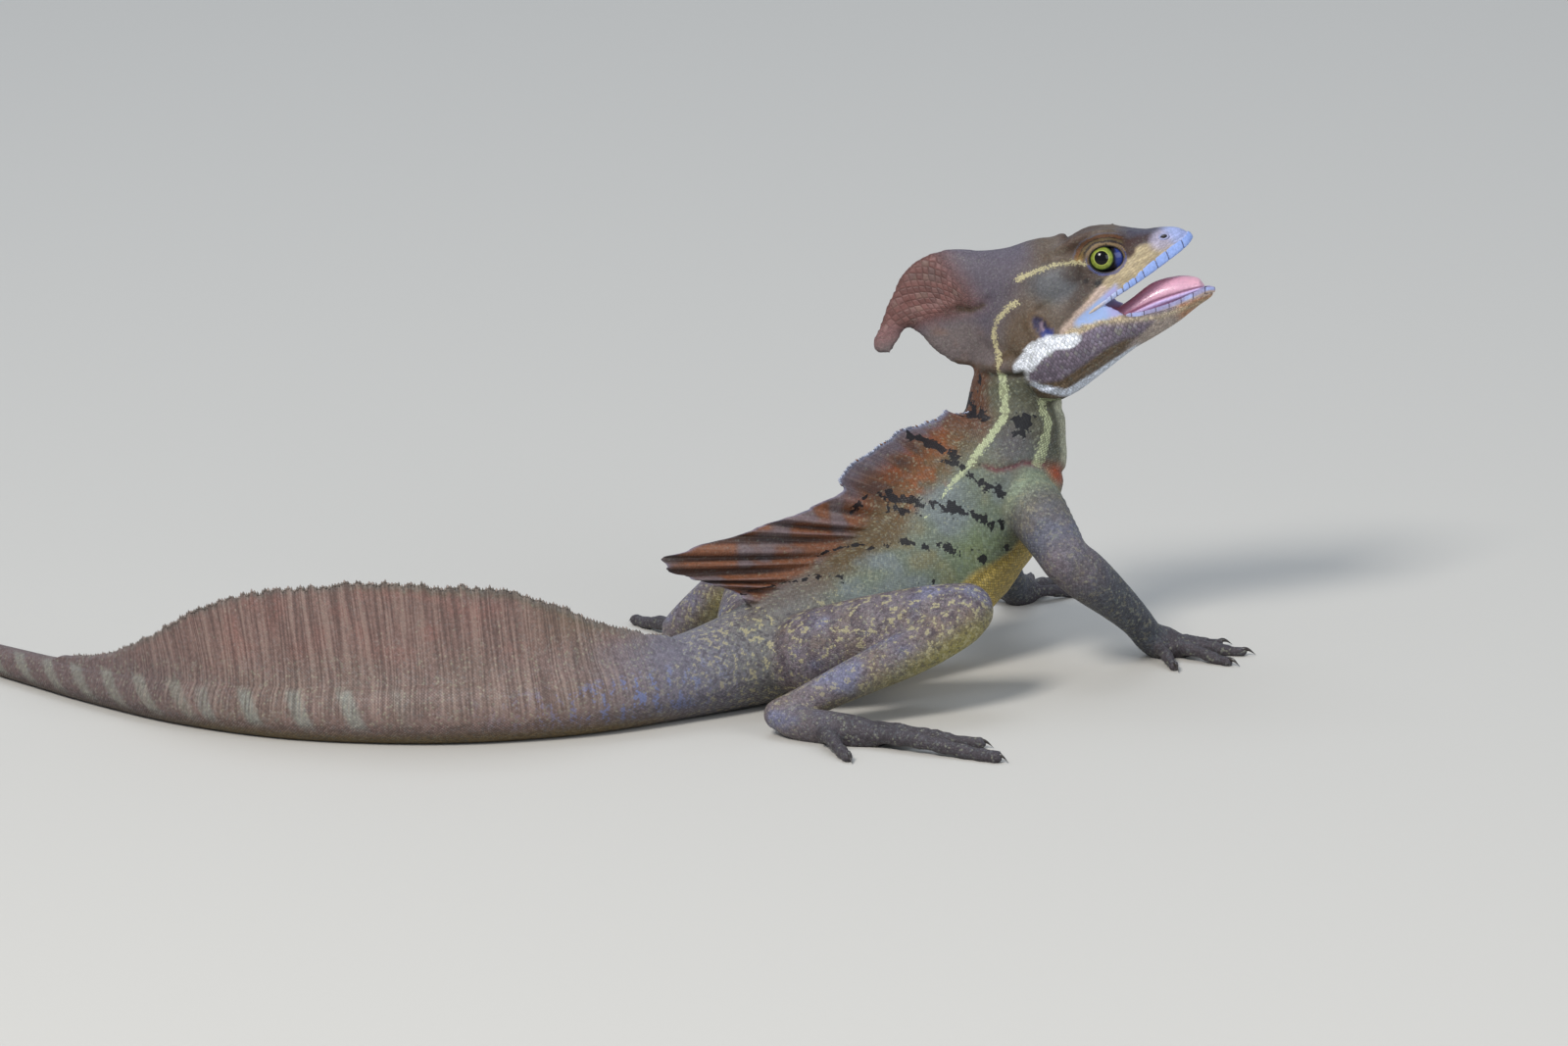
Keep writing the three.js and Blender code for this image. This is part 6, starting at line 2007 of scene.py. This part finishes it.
def eyeball(sign):
    """A ball round the gaze line, with a cap raised by (1 - (angle / edge)^2)^1.5 at the cornea."""
    gaze = unit(np.array([0.07, sign * 1.0, 0.12]))
    side_way = unit(np.cross(gaze, [0, 0, 1.0]))
    up_way = np.cross(side_way, gaze)
    phi = np.concatenate([np.linspace(0.01, 0.9, 90), np.linspace(0.93, np.pi - 0.05, 24)])
    turn = circle(72)
    radius = EYE_RADIUS + 0.42 * np.clip(1 - (phi / 0.78) ** 2, 0, 1) ** 1.5
    ring = np.cos(turn)[None, :, None] * side_way + np.sin(turn)[None, :, None] * up_way
    ahead = (radius * np.cos(phi))[:, None, None] * gaze
    rings = EYE * [1, sign, 1] + ahead + (radius * np.sin(phi))[:, None, None] * ring
    far = np.concatenate([np.repeat(phi * EYE_RADIUS, len(turn)), [0, 9]])
    angle = np.concatenate([np.tile(turn, len(phi)), [0, 0]])
    points, faces = outward(tube(rings))
    streak = noise(np.column_stack([np.cos(angle) * 9, np.sin(angle) * 9, far * 0.5]), 1.0, 21)
    paint = layers(
        spread("060506", len(points)),
        ("aeb757", ease(far, 1.8, 1.9)),
        ("7f8c38", ease(far, 1.95, 2.15)),
        ("6a6f2e", ease(far, 2.2, 3.0) * ease(streak, -0.2, 0.5) * 0.7),
        ("94a04a", ease(-streak, 0.1, 0.6) * ease(far, 2.0, 2.2) * 0.5),
        ("33451f", ease(far, 3.0, 3.25)),
        ("0b0a0c", ease(far, 3.35, 3.55)),
    )
    return (from_head(points), faces), paint


eye_finish = plate_material("eye_finish", 0.1, 0.002, 0.0)
eye_finish.node_tree.nodes["Principled BSDF"].inputs["IOR"].default_value = 1.36
for sign, name in ((-1, "eye_right"), (1, "eye_left")):
    part, paint = eyeball(sign)
    finish_piece(name + "_ball", part, paint, eye_finish, [name])

# %% [markdown]
# The opening of the lids is longer than the eyeball. A darker, wider ball behind it fills the
# corners with wet blue-black skin.

# %% Corners of the eyes

CORNER_PLACE = np.array([6.0, EYE[1], 9.6])
CORNER_RADII = np.array([6.0, 3.9, 4.7])
corner_parts, corner_paint = [], []
for sign in (-1, 1):
    points, faces = ball(CORNER_PLACE, CORNER_RADII, turn_y(-LID_TURN), rows=40, columns=60)
    blue_side = ease(points[:, 0] - 0.6 * points[:, 2], 3.2, 4.0)
    corner_paint.append(layers(spread("141218", len(points)), ("2b3a7a", blue_side)))
    corner_parts.append(on_side((points, faces), sign))
finish_piece("eye_corners", joined(corner_parts), np.concatenate(corner_paint), eye_finish)

# %% [markdown]
# A dark rim lines the lids, with two rows of granules outside it. Each is laid on an oval that
# is lifted onto the ball of the eye, or onto the corner's ball where that stands out further.


# %% Lids

def on_lid(angle, grow, radius):
    """Points on a ball of that radius round the eye, over an oval grown from the lids' opening."""
    u, v = (LID_OVAL[2] + grow) * np.cos(angle), (LID_OVAL[3] + grow) * np.sin(angle)
    c, s = np.cos(LID_TURN), np.sin(LID_TURN)
    x, z = LID_OVAL[0] + u * c - v * s, LID_OVAL[1] + u * s + v * c
    depth = np.sqrt(np.maximum(radius ** 2 - (x - EYE[0]) ** 2 - (z - EYE[2]) ** 2, 0.5))
    dx, dz = x - CORNER_PLACE[0], z - CORNER_PLACE[2]
    left = 1 - ((dx * c + dz * s) / CORNER_RADII[0]) ** 2 - ((dz * c - dx * s) / CORNER_RADII[2]) ** 2
    depth = np.maximum(depth, CORNER_RADII[1] * np.sqrt(np.maximum(left, 0.01)) + radius - 5.0)
    return np.column_stack([x, EYE[1] + depth, z])


def closed_ring(line, radius, columns=12):
    """A ring of round section along a closed line of points, its last ring joined to its first."""
    ahead = unit(np.roll(line, -1, 0) - np.roll(line, 1, 0))
    side_way = unit(np.cross(ahead, [0.01, 1.0, 0.02]))
    top_way = np.cross(side_way, ahead)
    radii = np.full(len(line), radius)
    rings = rings_round(line, side_way, top_way, radii, radii, radii, columns)
    faces = grid_faces(len(line) + 1, columns) % (len(line) * columns)
    return rings.reshape(-1, 3), faces.tolist()


GRANULES = 52
# how far outside the rim, radius of a granule, colours below and above the eye
GRANULE_ROWS = ((0.35, 0.27, "565c84", "6b563c"), (0.85, 0.31, "857a6a", "7d6746"))
bead_parts, bead_paint, rim_parts = [], [], []
for sign in (-1, 1):
    rim_parts.append(on_side(closed_ring(on_lid(circle(90), 0.0, 5.3), 0.22), sign))
    for grow, size, low_code, high_code in GRANULE_ROWS:
        angles = np.arange(GRANULES) * 2 * np.pi / GRANULES
        for angle, spot in zip(angles, on_lid(angles, grow, 5.75)):
            bead = ball(spot, np.full(3, size), rows=6, columns=8)
            bead_parts.append(on_side(bead, sign))
            bead_paint.append(spread(low_code if np.sin(angle) < -0.25 else high_code, len(bead[0])))
rim = joined(rim_parts)
finish_piece("lid_rims", rim, spread("1f1917", len(rim[0])), plate_finish)
finish_piece("lid_granules", joined(bead_parts), np.concatenate(bead_paint), plate_finish)

# %% [markdown]
# ## Nostrils, tongue and claws
# A nostril is a low ring round a dark pit near the tip of the snout. The pit is a shallow ball
# with painted shade, near black, for the inside of the opening: it looks like a hole and needs none to be cut.


# %% Nostrils
NOSTRIL = np.array([21.9, 4.62, 5.0])
nostril_parts, nostril_paint = [], []
turn = circle(40)
aside = -0.12 * np.cos(turn) - 0.25 * np.sin(turn)
rise = 0.75 * np.sin(turn) - 0.3 * np.cos(turn)
for sign in (-1, 1):
    ring = closed_ring(NOSTRIL + np.column_stack([1.15 * np.cos(turn), aside, rise]), 0.32)
    pit = ball(NOSTRIL - [0, 0.15, 0], np.array([1.05, 0.35, 0.62]), turn_y(0.25))
    nostril_parts += [on_side(ring, sign), on_side(pit, sign)]
    # the ring's own colour, and painted shade on the pit for the inside of the nostril
    nostril_paint += [spread("8d90b0", len(ring[0])), spread("120d0d", len(pit[0]))]
finish_piece("nostrils", joined(nostril_parts), np.concatenate(nostril_paint), plate_finish)

# %% [markdown]
# The tongue is thick and wet, with a shallow furrow along its top and a fold along each side.
# It is a tube through a table of sections, and its grooves are bells round the section.

# %% Tongue
TONGUE_ROWS = 90
TONGUE_COLUMNS = 72
# x, z, half width, height above, height below, in the jaw's frame
TONGUE = np.array([
    (17, 0.6, 4.4, 2.0, 2.0), (23, 2.0, 5.2, 2.8, 2.8), (30, 3.4, 5.2, 4.2, 3.6), (37, 3.8, 4.8, 3.8, 3.2),
    (41.6, 3.6, 3.4, 2.4, 2.0), (43.2, 3.2, 1.6, 1.0, 1.0),
])
t = np.linspace(0, len(TONGUE) - 1, TONGUE_ROWS)
row = smooth(TONGUE, t)
tip = np.sqrt(np.clip(1 - ((t - 4.2) / 0.85) ** 2, 0.02, 1)) * (t > 4.2) + (t <= 4.2)
middle = np.column_stack([row[:, 0], 0 * t, row[:, 1]])
to_right = np.tile([0, -1.0, 0], (TONGUE_ROWS, 1))
upwards = np.tile([0, 0, 1.0], (TONGUE_ROWS, 1))
half, up, down = (row[:, 2:] * tip[:, None]).T
rings = rings_round(middle, to_right, upwards, half, up, down, TONGUE_COLUMNS)
a = circle(TONGUE_COLUMNS)
around = np.degrees(np.minimum(a, 2 * np.pi - a))
groove = 0.10 * hump(around, 0, 9) + 0.13 * hump(around, 102, 9)
drawn_in = 1 - groove * ease(row[:, 0], 18, 24)[:, None]
rings = middle[:, None] + (rings - middle[:, None]) * drawn_in[..., None]
part = outward(tube(rings))
around = np.concatenate([np.tile(around, TONGUE_ROWS), [90, 90]])
tongue_paint = layers(
    spread("d6a4b8", len(around)),
    ("cdbcea", ease(around, 92, 108)),
    # painted shade along the fold on each side of the tongue
    ("c26f80", hump(around, 101, 6) * 0.6),
    ("e0a8b4", ease(part[0][:, 0], 36, 43) * fade(around, 60, 90) * 0.6),
)
tongue_finish = plate_material("tongue_finish", 0.3, 0.12, 0.25)
finish_piece("wet_tongue", (from_jaw(part[0]), part[1]), tongue_paint, tongue_finish, ["tongue"])

# %% [markdown]
# Every toe ends in a dark hooked claw that touches the floor: a tube that runs out to a point
# while its middle rises and falls again. One loop makes all twenty.

# %% Claws
CLAW_ROWS = 14
CLAW_ARCH = 0.9
claw_parts = []
for tip_place, way, rest in claw_specs:
    u = np.linspace(0, 1, CLAW_ROWS)
    middle = tip_place + np.append(way, 0) * (CLAW_LENGTH * u - 0.8)[:, None]
    middle[:, 2] += CLAW_ARCH * np.sin(np.pi * u) - rest * 0.72 * u * u
    radius = np.maximum(CLAW_RADIUS * (1 - u) ** 0.8, 0.07)
    across_way = np.tile([-way[1], way[0], 0], (CLAW_ROWS, 1))
    upwards = np.tile([0, 0, 1.0], (CLAW_ROWS, 1))
    points, faces = outward(tube(rings_round(middle, across_way, upwards, 0.75 * radius, radius, radius, 12)))
    points[:, 2] = np.maximum(points[:, 2], 0.03)
    claw_parts.append((points, faces))
claws = joined(claw_parts)
claw_finish = plate_material("claw_finish", 0.3, 0.02, 0.3)
finish_piece("claws", claws, spread("2d2622", len(claws[0])), claw_finish)

# %% [markdown]
# ## Floor and light
# A plain pale floor and soft lamps: a large key from the upper left in front, a weak fill
# from the right and a rim from behind, under a pale sky.

# %% Stage
FLOOR_HALF = 6000
floor_corners = [(-1, -1), (1, -1), (1, 1), (-1, 1)]
floor = make_object("floor", [(x * FLOOR_HALF, y * FLOOR_HALF, 0.0) for x, y in floor_corners], [[0, 1, 2, 3]])
floor_finish, n, shader = new_material("floor_finish")
shader.inputs["Base Color"].default_value = (0.52, 0.5, 0.46, 1)
shader.inputs["Roughness"].default_value = 0.9
floor.data.materials.append(floor_finish)
floor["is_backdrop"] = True
world = bpy.data.worlds.new("world")
world.use_nodes = True
world.node_tree.nodes["Background"].inputs[0].default_value = (0.76, 0.86, 1.0, 1)
world.node_tree.nodes["Background"].inputs[1].default_value = 0.5
bpy.context.scene.world = world
bpy.context.scene.view_settings.view_transform = "Standard"


def lamp(name, place, target, size, power, tint=(1, 1, 1)):
    """An area lamp at place, turned to face target, all in metres."""
    data = bpy.data.lights.new(name, "AREA")
    data.size = size
    data.energy = power
    data.color = tint
    made = new_object(name, data)
    back = unit(np.array(place, float) - np.array(target, float))
    right = unit(np.cross([0, 0, 1.0], back))
    set_pose(made, right, np.cross(back, right), back, place)
    return made


lamp("key", (-0.8, -1.3, 1.7), (0, 0, 0.04), 0.6, 40, (1.0, 0.97, 0.93))
lamp("fill", (1.3, -1.2, 0.8), (0, 0, 0.04), 1.0, 10, (0.92, 0.95, 1.0))
lamp("sky", (-0.2, 0.9, 1.7), (0, 0, 0.05), 1.0, 9, (0.8, 0.88, 1.0))

# %% [markdown]
# ## Finish
# The boxes round the imported solids and round the finished pieces are printed side by side.

# %% Finish
size = {"cad_box": cad_box, "visual_box": [list(corner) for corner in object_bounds()]}
print("boxes", size)
